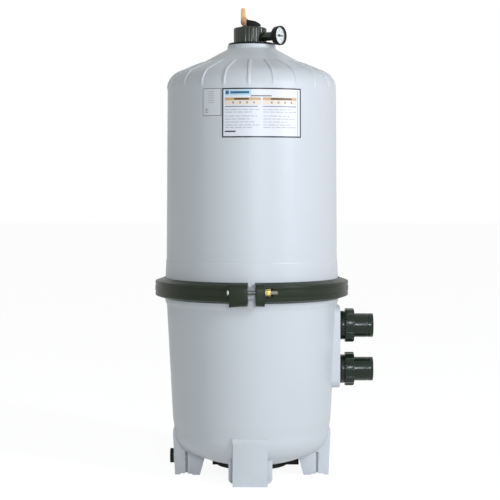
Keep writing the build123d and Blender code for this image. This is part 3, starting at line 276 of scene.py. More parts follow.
def along_x(x, z, sign=1):
    """Stands a form that was turned about Z on the X axis, pointing outwards."""
    return Matrix.Translation(Vector((x, 0, z)) * MM) @ Matrix.Rotation(sign * pi / 2, 4, "Y")


def along_gauge():
    """Stands a form that was turned about Z on the gauge's own axis."""
    out = Vector((cos(radians(GAUGE_AZIMUTH)), sin(radians(GAUGE_AZIMUTH)), 0))
    right = Vector((-out.y, out.x, 0))
    place = Matrix((right, Z_AXIS, out)).transposed().to_4x4()
    return Matrix.Translation(Z_AXIS * GAUGE_Z * MM) @ place


def as_object(name, bm):
    mesh = bpy.data.meshes.new(name)
    bm.to_mesh(mesh)
    bm.free()
    obj = bpy.data.objects.new(name, mesh)
    bpy.context.scene.collection.objects.link(obj)
    return obj


def evaluated(obj):
    """A bmesh of the object as its modifiers or its curve leave it."""
    shape = obj.evaluated_get(bpy.context.evaluated_depsgraph_get())
    mesh = bpy.data.meshes.new_from_object(shape)
    bm = bmesh.new()
    bm.from_mesh(mesh)
    bpy.data.meshes.remove(mesh)
    return bm


def cut_away(bm, cutter):
    """The first form less the second one."""
    body, tool = as_object("body", bm), as_object("tool", cutter)
    trim = body.modifiers.new("trim", "BOOLEAN")
    trim.operation = "DIFFERENCE"
    trim.solver = "EXACT"
    trim.object = tool
    cut = evaluated(body)
    for spare in (body, tool):
        old = spare.data
        bpy.data.objects.remove(spare)
        bpy.data.meshes.remove(old)
    return cut


def finish_piece(name, bm, node, *materials, slot=None, sharper=35.0):
    """Turns a bmesh into a finished piece that stands for a CAD node, on that node's body. Its slot
    is the node's, and its material follows from the slot, unless others are given."""
    slot = slot or SLOTS[node]
    bmesh.ops.recalc_face_normals(bm, faces=bm.faces)
    obj = as_object(name, bm)
    for finish in materials or (material(slot),):
        obj.data.materials.append(finish)
    obj.data.shade_smooth()
    obj.data.set_sharp_from_angle(angle=radians(sharper))
    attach(obj, BODIES[node])
    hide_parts(node)
    return obj


# Materials


def add_node(tree, kind, values=(), links=(), **settings):
    """Adds one node with its settings, its socket values and its links."""
    node = tree.nodes.new(kind)
    for name, value in settings.items():
        setattr(node, name, value)
    for socket, value in dict(values).items():
        node.inputs[socket].default_value = value
    for socket, source in dict(links).items():
        tree.links.new(source, node.inputs[socket])
    return node


def calculate(tree, operation, values=(), links=(), **settings):
    """The result of one sum on the tree."""
    node = add_node(tree, "ShaderNodeMath", values, links, operation=operation, **settings)
    return node.outputs["Value"]


def empty_tree(owner):
    owner.use_nodes = True
    owner.node_tree.nodes.clear()
    return owner.node_tree


def new_material(name, **values):
    """A material with a Principled shader, its own node tree and Object coordinates."""
    material = bpy.data.materials.new(name)
    tree = empty_tree(material)
    shader = add_node(tree, "ShaderNodeBsdfPrincipled", values)
    add_node(tree, "ShaderNodeOutputMaterial", links={"Surface": shader.outputs["BSDF"]})
    place = add_node(tree, "ShaderNodeTexCoord")
    return material, tree, shader, place.outputs["Object"]


def noise(tree, place, size, detail, **values):
    """Noise with features of that size in millimetres."""
    values = {"Scale": 1 / (size * MM), "Detail": detail, **values}
    return add_node(tree, "ShaderNodeTexNoise", values, {"Vector": place}).outputs["Fac"]


def tint(tree, shader, low, high, share):
    """Gives the shader a colour between two."""
    mix = add_node(tree, "ShaderNodeMix", {6: low, 7: high}, {0: share}, data_type="RGBA")
    tree.links.new(mix.outputs[2], shader.inputs["Base Color"])


def gloss(tree, shader, low, high, share, **ends):
    """Gives the shader a roughness between two."""
    values = {**{name.replace("_", " "): end for name, end in ends.items()}, "To Min": low, "To Max": high}
    span = add_node(tree, "ShaderNodeMapRange", values, {"Value": share})
    tree.links.new(span.outputs["Result"], shader.inputs["Roughness"])


def relief(tree, shader, height, strength, depth):
    """Gives the shader a relief of that depth in millimetres."""
    bump = add_node(
        tree, "ShaderNodeBump", {"Strength": strength, "Distance": depth * MM}, {"Height": height}
    )
    tree.links.new(bump.outputs["Normal"], shader.inputs["Normal"])


def scaled(colour, factor):
    """The colour made darker or lighter by a factor, with full alpha."""
    return tuple(min(1.0, c * factor) for c in colour[:3]) + (1.0,)


def moulded_resin(name, colour, roughness, grain=1.6, depth=0.02, mottle=0.05, patch=60.0, shine=0.5):
    """Injection-moulded plastic. Its tool's texture gives a fine grain of that size in millimetres,
    and flow and handling leave broad patches where the colour and the gloss drift a little."""
    material, tree, shader, place = new_material(name, Roughness=roughness, IOR=1.49)
    shader.inputs["Specular IOR Level"].default_value = shine
    broad = noise(tree, place, patch, 3.0, Roughness=0.55)
    tint(tree, shader, scaled(colour, 1 - mottle), scaled(colour, 1 + mottle), broad)
    gloss(tree, shader, roughness - 0.04, roughness + 0.05, broad, From_Min=0.3, From_Max=0.7)
    relief(tree, shader, noise(tree, place, grain, 2.0), 0.5, depth)
    return material


def metal(name, colour, roughness, scratch=2.0):
    """Machined or plated metal. Its turning marks are drawn out along one way, at that spacing."""
    material, tree, shader, place = new_material(name, Metallic=1.0, Roughness=roughness)
    shader.inputs["Base Color"].default_value = colour
    stretch = add_node(tree, "ShaderNodeMapping", {"Scale": (0.2, 1.0, 1.0)}, {"Vector": place})
    lines = noise(tree, stretch.outputs["Vector"], scratch, 4.0)
    gloss(tree, shader, roughness - 0.08, roughness + 0.12, lines)
    relief(tree, shader, lines, 0.3, 0.02)
    return material


def rubber(name, colour):
    """Moulded nitrile rubber: dull, with a dusty bloom in small patches."""
    material, tree, shader, place = new_material(name, Roughness=0.7, IOR=1.52)
    dusty = tuple(c + 0.02 for c in colour[:3]) + (1.0,)
    tint(tree, shader, colour, dusty, noise(tree, place, 8, 4.0))
    return material


def filter_cloth(name, colour):
    """Spunbonded polyester: matt, with a felt of fibres about 0.7 mm apart and a soft sheen."""
    material, tree, shader, place = new_material(name, Roughness=0.9, IOR=1.5)
    shader.inputs["Sheen Weight"].default_value = 0.3
    felt = add_node(tree, "ShaderNodeTexVoronoi", {"Scale": 1 / (0.7 * MM)}, {"Vector": place})
    tint(tree, shader, scaled(colour, 0.86), colour, felt.outputs["Distance"])
    relief(tree, shader, felt.outputs["Distance"], 0.5, 0.1)
    return material


def lever_resin(name, painted_hub_shade_colour, high_colour):
    """Moulded acetal with a slight subsurface glow. Its colour is painted shade by height: deep and
    brownish low round the thick hub, running up into the pale orange of the arm, with a wavy drift."""
    material, tree, shader, place = new_material(name, Roughness=0.32, IOR=1.48)
    shader.inputs["Subsurface Weight"].default_value = 0.15
    shader.inputs["Subsurface Radius"].default_value = (0.006, 0.003, 0.001)
    # painted shade: the colour darkens to brown towards the hub, lower down, and pales up the arm
    height = add_node(tree, "ShaderNodeSeparateXYZ", links={"Vector": place})
    ends = {"From Min": (PIVOT_Z - 8) * MM, "From Max": (PIVOT_Z + 22) * MM}
    share = add_node(tree, "ShaderNodeMapRange", ends, {"Value": height.outputs["Z"]})
    flow = noise(tree, place, 7, 3.0)
    lifted = calculate(tree, "ADD", {1: -0.15}, {0: flow})
    ends = {0: lifted, 2: share.outputs["Result"]}
    wavy_painted_shade = calculate(tree, "MULTIPLY_ADD", {1: 0.35}, ends, use_clamp=True)
    tint(tree, shader, painted_hub_shade_colour, high_colour, wavy_painted_shade)
    return material


def printed_film(name, colour, roughness=0.35):
    """Printed vinyl film under clear laminate: even colour, glossy, with the slight waviness of a
    label that was laid by hand."""
    material, tree, shader, place = new_material(name, Roughness=roughness, IOR=1.46)
    drift = noise(tree, place, 30, 2.0)
    tint(tree, shader, scaled(colour, 0.96), colour, drift)
    relief(tree, shader, drift, 0.3, 0.05)
    return material


def clear_lens(name):
    """Polycarbonate window: clear, with a faint haze of rub marks."""
    material, tree, shader, place = new_material(name, Roughness=0.03, IOR=1.585, Alpha=0.06)
    gloss(tree, shader, 0.0, 0.1, noise(tree, place, 3, 3.0))
    return material


# The labels' inks and grounds: flat printed colours with the film's own gloss
INKS = {
    "label_film": "dfe0e6", "ink_black": "1a1c20", "ink_sky": "b3d3e6", "ink_blue": "2c5b7c",
    "ink_ochre": "c9a273", "ink_brown": "4b3a22", "ink_peach": "e6d5c6", "ink_grey": "b4b5bd",
    "ink_mauve": "8d8896", "film_grey": "d3d6d8"
}
MATERIALS = {}


def material(name):
    """The material for that slot or ink, made the first time it is asked for."""
    if name in MATERIALS:
        return MATERIALS[name]
    hues = bpy.context.scene.filter_colours
    recipes = {
        # glass-filled polypropylene, moulded: a satin grey that drifts very little
        "tank_resin": lambda: moulded_resin(
            "tank_polypropylene", tuple(hues.tank), 0.4, 1.8, 0.02, 0.02, 160.0
        ),
        # glass-filled nylon, moulded: near black with a green cast and a visible grain
        "clamp_resin": lambda: moulded_resin(
            "clamp_nylon", tuple(hues.clamp), 0.36, 1.4, 0.04, 0.14, 45.0, 0.2
        ),
        # moulded ABS: black-green with a fairly high gloss that shows lights as streaks
        "union_resin": lambda: moulded_resin(
            "union_abs", tuple(hues.union), 0.2, 2.2, 0.006, 0.1, 30.0, 0.32
        ),
        # moulded ABS of the valve's cap: dark olive, satin
        "cap_resin": lambda: moulded_resin("cap_abs", tuple(hues.cap), 0.2, 1.6, 0.008, 0.1, 25.0, 0.42),
        # black ABS of the small fittings
        "black_resin": lambda: moulded_resin(
            "fittings_abs", tuple(hues.fittings), 0.34, 1.4, 0.02, 0.15, 25.0, 0.15
        ),
        # white moulded resin of the cartridges' caps and plumbing
        "white_resin": lambda: moulded_resin("plumbing_resin", srgb("dfe2e0"), 0.45, 1.6, 0.02, 0.03, 60.0),
        "filter_cloth": lambda: filter_cloth("pleated_polyester", srgb("e6e7e1")),
        "rubber": lambda: rubber("nitrile_rubber", srgb("1a1b1a")),
        "steel": lambda: metal("zinc_plated_steel", srgb("a4a6a2"), 0.34),
        "brass": lambda: metal("machined_brass", srgb("c9b46a"), 0.28),
        # acetal lever: its brown low colour is painted shade round the hub
        "lever_resin": lambda: lever_resin("lever_acetal", srgb("7a3a12"), tuple(hues.lever)),
        "dial_enamel": lambda: printed_film("enamelled_dial", srgb("fafaf6"), 0.4),
        "pointer_enamel": lambda: printed_film("enamelled_pointer", srgb("141414"), 0.35),
        "lens": lambda: clear_lens("polycarbonate_lens"),
    }
    MATERIALS[name] = printed_film(name, srgb(INKS[name])) if name in INKS else recipes[name]()
    return MATERIALS[name]


def colour_choice(name, description, code):
    return bpy.props.FloatVectorProperty(
        name=name, description=description, subtype="COLOR", size=4, default=srgb(code)
    )


def length_choice(name, description, millimetres):
    return bpy.props.FloatProperty(
        name=name, description=description, default=millimetres * MM, unit="LENGTH"
    )


def count_choice(name, description, default, low, high):
    return bpy.props.IntProperty(name=name, description=description, default=default, min=low, max=high)


class FilterColours(bpy.types.PropertyGroup):
    tank: colour_choice("Tank", "Grey of the tank", "c9ccd0")
    clamp: colour_choice("Clamp", "Black-green of the clamp", "252c20")
    union: colour_choice("Unions", "Black-green of the unions", "142418")
    cap: colour_choice("Valve cap", "Olive of the valve's cap", "22291c")
    fittings: colour_choice("Fittings", "Black of the small fittings", "121411")
    lever: colour_choice("Lever", "Pale orange of the lever's arm", "eab877")


class FilterSizes(bpy.types.PropertyGroup):
    rib_count: count_choice("Ribs", "Number of ribs on the shoulder", 22, 4, 60)
    rib_height: length_choice("Rib height", "How far a rib stands out", 3)
    rib_width: length_choice("Rib width", "Width of a rib's top", 5)
    groove_depth: length_choice("Clamp grooves", "Depth of the clamp's grooves", 1.6)
    thread_pitch: length_choice("Bolt pitch", "Pitch of the clamp bolt's thread", 1.6)
    cap_flutes: count_choice("Cap flutes", "Number of grips round the valve's cap", 26, 6, 60)
    union_ribs: count_choice("Union ribs", "Number of ribs round a union nut", 16, 4, 40)


# The underside is a shallow crown that runs into a knuckle; these are the circles of its section
DOME_RING = DOME_R - KNUCKLE_R
CROWN_R = (DOME_RING**2 + DOME_DEPTH**2 - KNUCKLE_R**2) / (2 * (DOME_DEPTH - KNUCKLE_R))
CROWN_Z = DOME_Z + CROWN_R - DOME_DEPTH


def dome_height(radius):
    """Height of the tank's underside at that radius."""
    if radius < DOME_RING * (1 + KNUCKLE_R / (CROWN_R - KNUCKLE_R)):
        return CROWN_Z - sqrt(CROWN_R**2 - radius**2)
    return DOME_Z - sqrt(max(KNUCKLE_R**2 - (radius - DOME_RING) ** 2, 0.0))


def dome_outline(lift, steps):
    """The dome from the axis to its widest circle, moved inwards by lift."""
    swing = degrees(atan2(DOME_RING, CROWN_R - DOME_DEPTH))
    inner = arc(0, CROWN_Z, CROWN_R - lift, -90, -90 + swing, steps)
    outer = arc(DOME_RING, DOME_Z, KNUCKLE_R - lift, -90 + swing, 0, steps)
    return inner + outer[1:]


class FILTER_OT_upper_tank(bpy.types.Operator):
    """Turn the upper half of the tank, with the ribs on its shoulder"""

    bl_idname = "filter.upper_tank"
    bl_label = "Upper tank"

    def execute(self, context):
        sizes = context.scene.filter_sizes
        outside = rounded([
            (283, JOINT_Z, 0), (FLANGE_R, JOINT_Z + 4, 0), (FLANGE_R, JOINT_Z + 14, 1.2),
            (268.4, JOINT_Z + 20.3, 1), (267.6, JOINT_Z + 24, 1.5), (264.8, SKIRT_TOP_Z - 4, 1.5),
            (SKIRT_R, SKIRT_TOP_Z, 2), (side_radius(RIB_FOOT_Z), RIB_FOOT_Z, 0), (BODY_R, SHOULDER_Z, 60),
            (150, CONE_Z, 60), (74.5, RIM_Z - 12, 8), (74.5, RIM_Z, 1.6), (72.5, RIM_Z, 0)
        ], 8)
        low = [p for p in outside if p[1] < RIB_FOOT_Z]
        high = refine([p for p in outside if p[1] >= RIB_FOOT_Z], 5.0)
        inside = rounded([
            (60, RIM_Z, 0), (60, 1300, 14), (150, CONE_Z - 6.6, 54), (BODY_R - WALL, SHOULDER_Z - 4, 54),
            (SKIRT_R - WALL, SKIRT_TOP_Z, 0), (260, SKIRT_TOP_Z - 4, 0), (260, JOINT_Z, 0)
        ], 6)
        per_rib = 24
        bm = lathe(low + high + inside, sizes.rib_count * per_rib)
        pitch = FULL_TURN / sizes.rib_count
        half_top = sizes.rib_width / MM / 2
        phase = radians(-92)
        bm.normal_update()
        for v in bm.verts:
            r, z = hypot(v.co.x, v.co.y) / MM, v.co.z / MM
            if z < RIB_FOOT_Z - 1 or r < 140 or z < shoulder_height(r) - 4:
                continue
            turn = (atan2(v.co.y, v.co.x) - phase) / pitch
            nearest = round(turn)
            off = turn - nearest
            # the turned rings gather near each rib, so that its flanks are clean
            off = (1 if off >= 0 else -1) * abs(2 * off) ** 1.8 / 2
            angle = phase + (nearest + off) * pitch
            v.co.x, v.co.y = r * cos(angle) * MM, r * sin(angle) * MM
            rise = 1 - smoothstep(half_top, half_top + 2.4, abs(off) * pitch * r)
            rise *= smoothstep(148, 166, r) * smoothstep(RIB_FOOT_Z, RIB_FOOT_Z + 26, z)
            out = Vector((cos(angle), sin(angle), 0)) * hypot(v.normal.x, v.normal.y)
            out.z = v.normal.z
            v.co += out * (sizes.rib_height * rise)
        finish_piece("upper_shell", bm, "upper_tank", sharper=50)
        return {"FINISHED"}


def shoulder_height(radius):
    """Least height at which a point of that radius can still be on the upper tank's outside."""
    if radius > 215:
        return RIB_FOOT_Z if radius > 253 else CONE_Z - (radius - 150) * 0.417 - smoothstep(
            205, 250, radius
        ) * 12
    return CONE_Z - (radius - 150) * (0.417 if radius > 150 else 0.55)


class FILTER_OT_lower_tank(bpy.types.Operator):
    """Turn the lower half of the tank and add the ports' pad and the drain's boss"""

    bl_idname = "filter.lower_tank"
    bl_label = "Lower tank"

    def execute(self, context):
        outside = dome_outline(2.2, 20) + rounded([
            (DOME_R - 2.2, DOME_Z + 1, 0), (DOME_R - 1.8, 144, 10), (245.3, 174, 10), (263, 524, 14),
            (268, 536, 8), (268, JOINT_Z - 20.3, 2), (FLANGE_R, JOINT_Z - 14, 1.2),
            (FLANGE_R, JOINT_Z - 4, 1), (283, JOINT_Z, 0)
        ], 5)
        inside = [(257, JOINT_Z), (257, 524)] + dome_outline(WALL, 16)[::-1]
        shell = lathe(outside + inside, 288, closed=False)
        finish_piece("lower_shell", shell, "lower_tank", sharper=40)

        half_w, low, high = 56, 267, 521
        face = closed_rounded([
            (-half_w, low, 30), (half_w, low, 30), (half_w, high, 30), (-half_w, high, 30)
        ], 9)
        pad = prism(face, 44, origin=(228.5, 0, 0), across=Y_AXIS, up=Z_AXIS)
        round_edges(pad, 5, 4, 60)
        finish_piece("port_pad", pad, "lower_tank", sharper=40)

        boss = turned([
            (0, 6, 0), (24, 6, 0), (24, 43, 2.5), (17.4, 43, 0.8), (17.4, 12, 0), (0, 12, 0)
        ], 4, 72)
        moved(boss, along_x(-200, DRAIN_Z, -1))
        finish_piece("drain_boss", boss, "lower_tank", sharper=40)
        return {"FINISHED"}


def sliced(bm, axis, distance):
    """Cuts new edges across a form, at right angles to an axis."""
    geom = bm.verts[:] + bm.edges[:] + bm.faces[:]
    bmesh.ops.bisect_plane(bm, geom=geom, plane_co=axis * distance * MM, plane_no=axis)


def make_leg(turn):
    """One leg that points along +X, turned by that many degrees: a box with a flange behind it."""
    box, wide, web = 52, 65.5, 38
    face, back, step, inner = 243.0, 205, 197, 147
    half = [(face, box), (back, box), (back, web), (step, web), (step, wide), (inner, wide)]
    plan = half + [(x, -y) for x, y in reversed(half)]
    leg = prism(plan, 144, up=Y_AXIS)
    toe, ankle, knee = 12, 46, 127
    for height in (toe, ankle, knee):
        sliced(leg, Z_AXIS, height)
    for v in leg.verts:
        if v.co.z < 1 * MM:
            if v.co.x > 240 * MM:
                v.co.x = 237 * MM
            if v.co.x < 150 * MM:
                v.co.x = 160 * MM
            if abs(v.co.y) > 60 * MM:
                v.co.y *= 58.5 / wide
        elif v.co.z < (toe + 1) * MM:
            v.co.x += ((237.5 - face) if v.co.x > 240 * MM else (9.6 if v.co.x < 150 * MM else 0)) * MM
        elif v.co.z < (ankle + 1) * MM and v.co.x > 240 * MM:
            v.co.x = 239 * MM
        elif v.co.z > 143 * MM and v.co.x > 240 * MM:
            v.co.x = 241.4 * MM
    # the underside is open, with walls of even thickness
    wall, hollow = 7, 40
    leg.faces.ensure_lookup_table()
    under = [f for f in leg.faces if all(v.co.z < 1 * MM for v in f.verts)]
    bmesh.ops.inset_region(leg, faces=under, thickness=wall * MM, use_even_offset=True)
    grown = bmesh.ops.extrude_face_region(leg, geom=under)["geom"]
    raised = [g for g in grown if isinstance(g, bmesh.types.BMVert)]
    bmesh.ops.translate(leg, verts=raised, vec=(0, 0, hollow * MM))
    bmesh.ops.delete(leg, geom=under, context="FACES_ONLY")
    # the feet: the rim between them is raised
    heel, arch_start, arch_end, ball, arch_rise = 182, 186, 219, 223, 4
    for x in (heel, arch_start, arch_end, ball):
        sliced(leg, X_AXIS, x)
    for v in leg.verts:
        if v.co.z < 1 * MM and (arch_start - 1) * MM < v.co.x < (arch_end + 1) * MM:
            v.co.z += arch_rise * MM
    bmesh.ops.recalc_face_normals(leg, faces=leg.faces)
    round_edges(
        leg, 2.2, 2, 50, lambda e: e.calc_length() > 24 * MM and max(v.co.z for v in e.verts) > 50 * MM
    )
    # above the slot the box and the flange are one
    cover = prism([(190, 51.8), (212, 51.8), (212, -51.8), (190, -51.8)], 74, origin=(0, 0, 70), up=Y_AXIS)
    for part in (leg, cover):
        moved(part, Matrix.Rotation(radians(turn), 4, "Z"))
    return leg, cover


class FILTER_OT_legs(bpy.types.Operator):
    """Make the four legs and trim them to the dome"""

    bl_idname = "filter.legs"
    bl_label = "Legs"

    def execute(self, context):
        for name, turn in (("right", 0), ("back", 90), ("left", 180), ("front", 268.8)):
            parts = []
            for part in make_leg(turn):
                dome = lathe(
                    dome_outline(5, 14) + [(DOME_R - 5, DOME_Z + 1), (DOME_R - 1, 200), (0, 200)], 96,
                    closed=False
                )
                parts.append(cut_away(part, dome))
            finish_piece(f"leg_{name}", joined(*parts), "lower_tank", sharper=40)
        return {"FINISHED"}


class FILTER_OT_cradle(bpy.types.Operator):
    """Make the pan and arms under the dome"""

    bl_idname = "filter.cradle"
    bl_label = "Cradle"

    def execute(self, context):
        hub_r, hub_z, arm_z = 111, 18.5, 24.5
        under = rounded([
            (0, hub_z + 3, 0), (60, hub_z + 3, 2), (64, hub_z, 2), (78, hub_z, 2), (84, 25.5, 2),
            (hub_r, 25.5, 1.5), (hub_r, 38.5, 0)
        ], 4)
        top = [(r, dome_height(r) + 2.5) for r in (hub_r, 90, 70, 50, 30, 10, 0)]
        parts = [lathe(under + top[1:], 128, closed=False)]
        for turn, reach in ((0, 146), (90, 146), (180, 122), (270, 146)):
            side = [(95, arm_z), (reach, arm_z), (reach, dome_height(reach) + 2.5)]
            side += [(r, dome_height(r) + 2.5) for r in (115, 95)]
            arm = prism(side, -44, origin=(0, -22, 0))
            round_edges(arm, 2, 2, 40, lambda e: all(v.co.z < 30 * MM for v in e.verts))
            parts.append(moved(arm, Matrix.Rotation(radians(turn), 4, "Z")))
        finish_piece("cradle", joined(*parts), "base_cradle")
        return {"FINISHED"}


def band_outline(depth, pocket=False):
    """Section of the clamp's band as (radius, height) pairs, with two grooves of that depth."""
    z = JOINT_Z
    half = [
        (299, 7.6, 0.8), (298.6 - depth, 9.6, 0.6), (298.6 - depth, 12.2, 0.6), (298.6, 14.2, 0.8),
        (298.2, 22.2, 3), (273, 31, 1.5), (270, 31, 0)
    ]
    below = [(r, z - rise, turn) for r, rise, turn in reversed(half)]
    outer = rounded(below + [(r, z + rise, turn) for r, rise, turn in half], 3)
    if pocket:
        notch = [(290, z - 8.2), (290, z + 16.2)]
        low = [p for p in outer if p[1] < z - 8.2]
        high = [p for p in outer if p[1] > z + 16.2]
        low.append((298.6, z - 8.2))
        high.insert(0, (298.4, z + 16.2))
        outer = low + notch + high
    inner = [(270, z + 20), (288, z + 14), (288, z - 14), (270, z - 20)]
    return outer + inner


def make_lug(start, end):
    """A barrel-shaped lug between two places along X; it narrows away from the gap."""
    top, drop, front, back = JOINT_Z + 29.5, JOINT_Z - 36, -313, -287
    gap_end, reach = 11, 55
    outline = closed_rounded([(back, drop, 2), (front, drop, 20), (front, top, 20), (back, top, 2)], 8)
    steps = 6
    bm = prism(
        [(y, z) for y, z in outline], end - start, origin=(start, 0, 0), across=Y_AXIS, up=Z_AXIS,
        steps=steps
    )
    for v in bm.verts:
        away = (abs(v.co.x / MM) - gap_end) / reach
        swell = max(0.0, away) ** 2
        v.co.z = top * MM + (v.co.z - top * MM) * (1 + 0.06 * swell)
        v.co.y = back * MM + (v.co.y - back * MM) * (1 - 0.2 * swell)
    return round_edges(bm, 1.6, 2, 60)


def make_knuckles(side, lows):
    """Hinge knuckles at the back, with roots that run into the band."""
    parts = []
    for low in lows:
        tube = lathe(rounded([(4.1, low, 0), (8.5, low, 1), (8.5, low + 17, 1), (4.1, low + 17, 0)], 3), 40)
        parts.append(moved(tube, Matrix.Translation((0, HINGE_Y * MM, 0))))
        root = [
            (5, HINGE_Y - 7.6), (5, HINGE_Y + 7.2), (12, HINGE_Y + 3), (22, HINGE_Y - 5), (22, 290),
            (6, 290)
        ]
        plan = [(side * x, y) for x, y in root]
        parts.append(round_edges(prism(plan, 17, origin=(0, 0, low), up=Y_AXIS), 1, 2, 40))
    return parts


class FILTER_OT_clamp(bpy.types.Operator):
    """Make the two halves of the clamp's band, with their lugs and hinge knuckles"""

    bl_idname = "filter.clamp"
    bl_label = "Clamp halves"

    def execute(self, context):
        depth = context.scene.filter_sizes.groove_depth / MM
        band = band_outline(depth)
        knuckle_low = JOINT_Z - 8.5
        back_turn = degrees(asin(5 / 294))
        left = [
            part_lathe(band, -90 - degrees(asin(12 / 299)), -270 + back_turn, 150), make_lug(-12, -66),
            *make_knuckles(-1, [knuckle_low - 17.5, knuckle_low + 17.5])
        ]
        finish_piece("clamp_band_left", joined(*left), "clamp_half_left", sharper=32)
        pocket_turn = -90 + degrees(asin(62 / 299))
        right = [
            part_lathe(band, pocket_turn, 90 - back_turn, 140),
            part_lathe(band_outline(depth, True), -90 + degrees(asin(11.5 / 299)), pocket_turn + 0.02, 10),
            make_lug(11, 38), *make_knuckles(1, [knuckle_low])
        ]
        finish_piece("clamp_band_right", joined(*right), "clamp_half_right", sharper=32)
        return {"FINISHED"}


class FILTER_OT_clamp_fastener(bpy.types.Operator):
    """Make the clamp's bolt, washer, brass nut and hinge pin"""

    bl_idname = "filter.clamp_fastener"
    bl_label = "Clamp fastener"

    def execute(self, context):
        pitch = context.scene.filter_sizes.thread_pitch / MM
        place = Matrix.Translation(Vector((0, BOLT_Y, BOLT_Z)) * MM) @ Matrix.Rotation(pi / 2, 4, "Y")
        start, end, crest, root = -14.0, 74.0, 6.0, 5.35
        shank = [(0, -67), (crest, -67), (crest, start)]
        for turn in range(int((end - start) / pitch)):
            low = start + turn * pitch
            shank += [(root, low + 0.45 * pitch), (root, low + 0.55 * pitch), (crest, low + pitch * 0.95)]
        shank += [(root, end + 0.4), (root - 0.8, end + 1), (0, end + 1)]
        head = prism(regular_outline(15 / sqrt(3), 6, 1), 6, origin=(0, 0, -72), up=Y_AXIS)
        round_edges(head, 0.7, 2, 40)
        bolt = joined(moved(lathe(shank, 36, closed=False), place), moved(head, place))
        finish_piece("clamp_bolt_shown", bolt, "clamp_bolt", sharper=30)

        washer = turned_ring([
            (6.1, 38.5, 0.2), (11.6, 38.5, 0.4), (11.6, 40.5, 0.4), (6.1, 40.5, 0.2)
        ], 2, 48)
        finish_piece("washer", moved(washer, place), "clamp_washer")

        hexagon = regular_outline(20 / sqrt(3), 6, 4)
        bore = regular_outline(6.15, 24, 1)
        nut = ring_prism(hexagon, bore, 40.5, 55)
        round_edges(nut, 0.9, 2, 40, lambda e: min(hypot(v.co.x, v.co.y) for v in e.verts) > 9 * MM)
        finish_piece("brass_nut", moved(nut, place), "clamp_nut")

        reach = 28.5
        pin = turned([
            (0, JOINT_Z - reach, 0), (4, JOINT_Z - reach, 0.8), (4, JOINT_Z + reach - 1, 0),
            (5.5, JOINT_Z + reach - 1, 0), (5.5, JOINT_Z + reach + 1, 1), (0, JOINT_Z + reach + 1, 0)
        ], 3, 32)
        moved(pin, Matrix.Translation((0, HINGE_Y * MM, 0)))
        finish_piece("hinge_pin", pin, "clamp_hinge_pin")
        return {"FINISHED"}


class FILTER_OT_valve(bpy.types.Operator):
    """Make the relief valve's cap, plate and hood"""

    bl_idname = "filter.valve"
    bl_label = "Relief valve"

    def execute(self, context):
        flutes = context.scene.filter_sizes.cap_flutes
        plate_top = RIM_Z + 6
        cap = turned([
            (0, RIM_Z, 0), (49, RIM_Z, 0), (49.5, plate_top + 1, 0), (50.6, plate_top + 2.5, 0.6),
            (50.6, 1376, 5), (37, 1376, 0), (35, 1374.8, 0.5), (0, 1374.8, 0)
        ], 5, flutes * 12)
        fluted(cap, flutes, 1.3, plate_top + 2, 1373, 46, 2.5)
        moved(cap, Matrix.Translation((CAP_X * MM, 0, 0)))
        finish_piece("valve_cap", cap, "relief_body", slot="cap_resin", sharper=50)

        plate = turned([
            (0, 1296, 0), (59.6, 1296, 1), (59.6, 1312.8, 0.3), (55.3, 1312.8, 0.3), (55.3, 1317.2, 0.3),
            (59.6, 1317.2, 0.3), (59.6, RIM_Z, 0), (72, RIM_Z, 1.2), (72, plate_top, 1.5),
            (66, plate_top, 1), (58, plate_top - 1.5, 2), (0, plate_top - 1.5, 0)
        ], 3, 160)
        finish_piece(
            "valve_plate", plate, "relief_body", material("black_resin"), slot="cap_resin", sharper=40
        )

        seat = turned([
            (0, 1373, 0), (10, 1373, 0), (10, 1381.5, 1), (4.2, 1381.5, 0), (4.2, 1374, 0), (0, 1374, 0)
        ], 3, 48)
        moved(seat, Matrix.Translation((VALVE_X * MM, 0, 0)))
        finish_piece("cam_seat", seat, "relief_body", slot="cap_resin")

        front = [
            (-16, 1374), (20, 1374), (20, 1379.5), (28, 1382.5), (28, 1385), (20, 1391.5), (10, 1396.5),
            (-13, 1400.5), (-16, 1399)
        ]
        back = [(-7, 1374)] + front[1:7] + [(-7, 1399.4)]
        parts = [prism(back, 21.2, origin=(0, 10.6, 0))]
        for start in (-10.6, 13.0):
            cheek = prism(front, 2.4, origin=(0, start, 0))
            parts.append(round_edges(cheek, 1.0, 3, 20, lambda e: max(v.co.z for v in e.verts) > 1380 * MM))
        finish_piece("hood", joined(*parts), "outlet_hood", sharper=40)
        return {"FINISHED"}


class FILTER_OT_lever(bpy.types.Operator):
    """Make the orange lever and its pin"""

    bl_idname = "filter.lever"
    bl_label = "Lever"

    def execute(self, context):
        hub_z, top = PIVOT_Z - 2.6, 1436.5
        left, right = VALVE_X - 11.4, VALVE_X + 2.8
        hub = arc(VALVE_X, hub_z, 11.4, 180, 372, 30)
        stalk = rounded([
            (*hub[-1], 0), (VALVE_X + 11, hub_z + 8, 6), (right, hub_z + 17, 12), (right - 0.6, top, 4.5),
            (left + 1.4, top, 4.5), (*hub[0], 0)
        ], 5)[1:-1]
        parts = []
        for start in (-4.2, 10.0):
            cheek = prism(hub + stalk, 5.8, origin=(0, start, 0))
            parts.append(round_edges(
                cheek, 1.4, 3, 60, lambda e: all(abs(v.co.y) > 9.9 * MM for v in e.verts)
            ))
        web = [
            (left + 0.6, hub_z + 9.6), (right + 1, hub_z + 9.6)
        ] + [p for p in stalk if p[1] > hub_z + 14]
        parts.append(prism(web, 8.6, origin=(0, 4.3, 0)))
        finish_piece("lever", joined(*parts), "relief_lever", sharper=45)

        pin = turned([(0, -10.4, 0), (1.6, -10.4, 0.4), (1.6, 10.4, 0.4), (0, 10.4, 0)], 2, 24)
        place = Matrix.Translation(Vector((VALVE_X, 0, PIVOT_Z)) * MM) @ Matrix.Rotation(pi / 2, 4, "X")
        finish_piece("lever_pin_shown", moved(pin, place), "lever_pin")
        return {"FINISHED"}


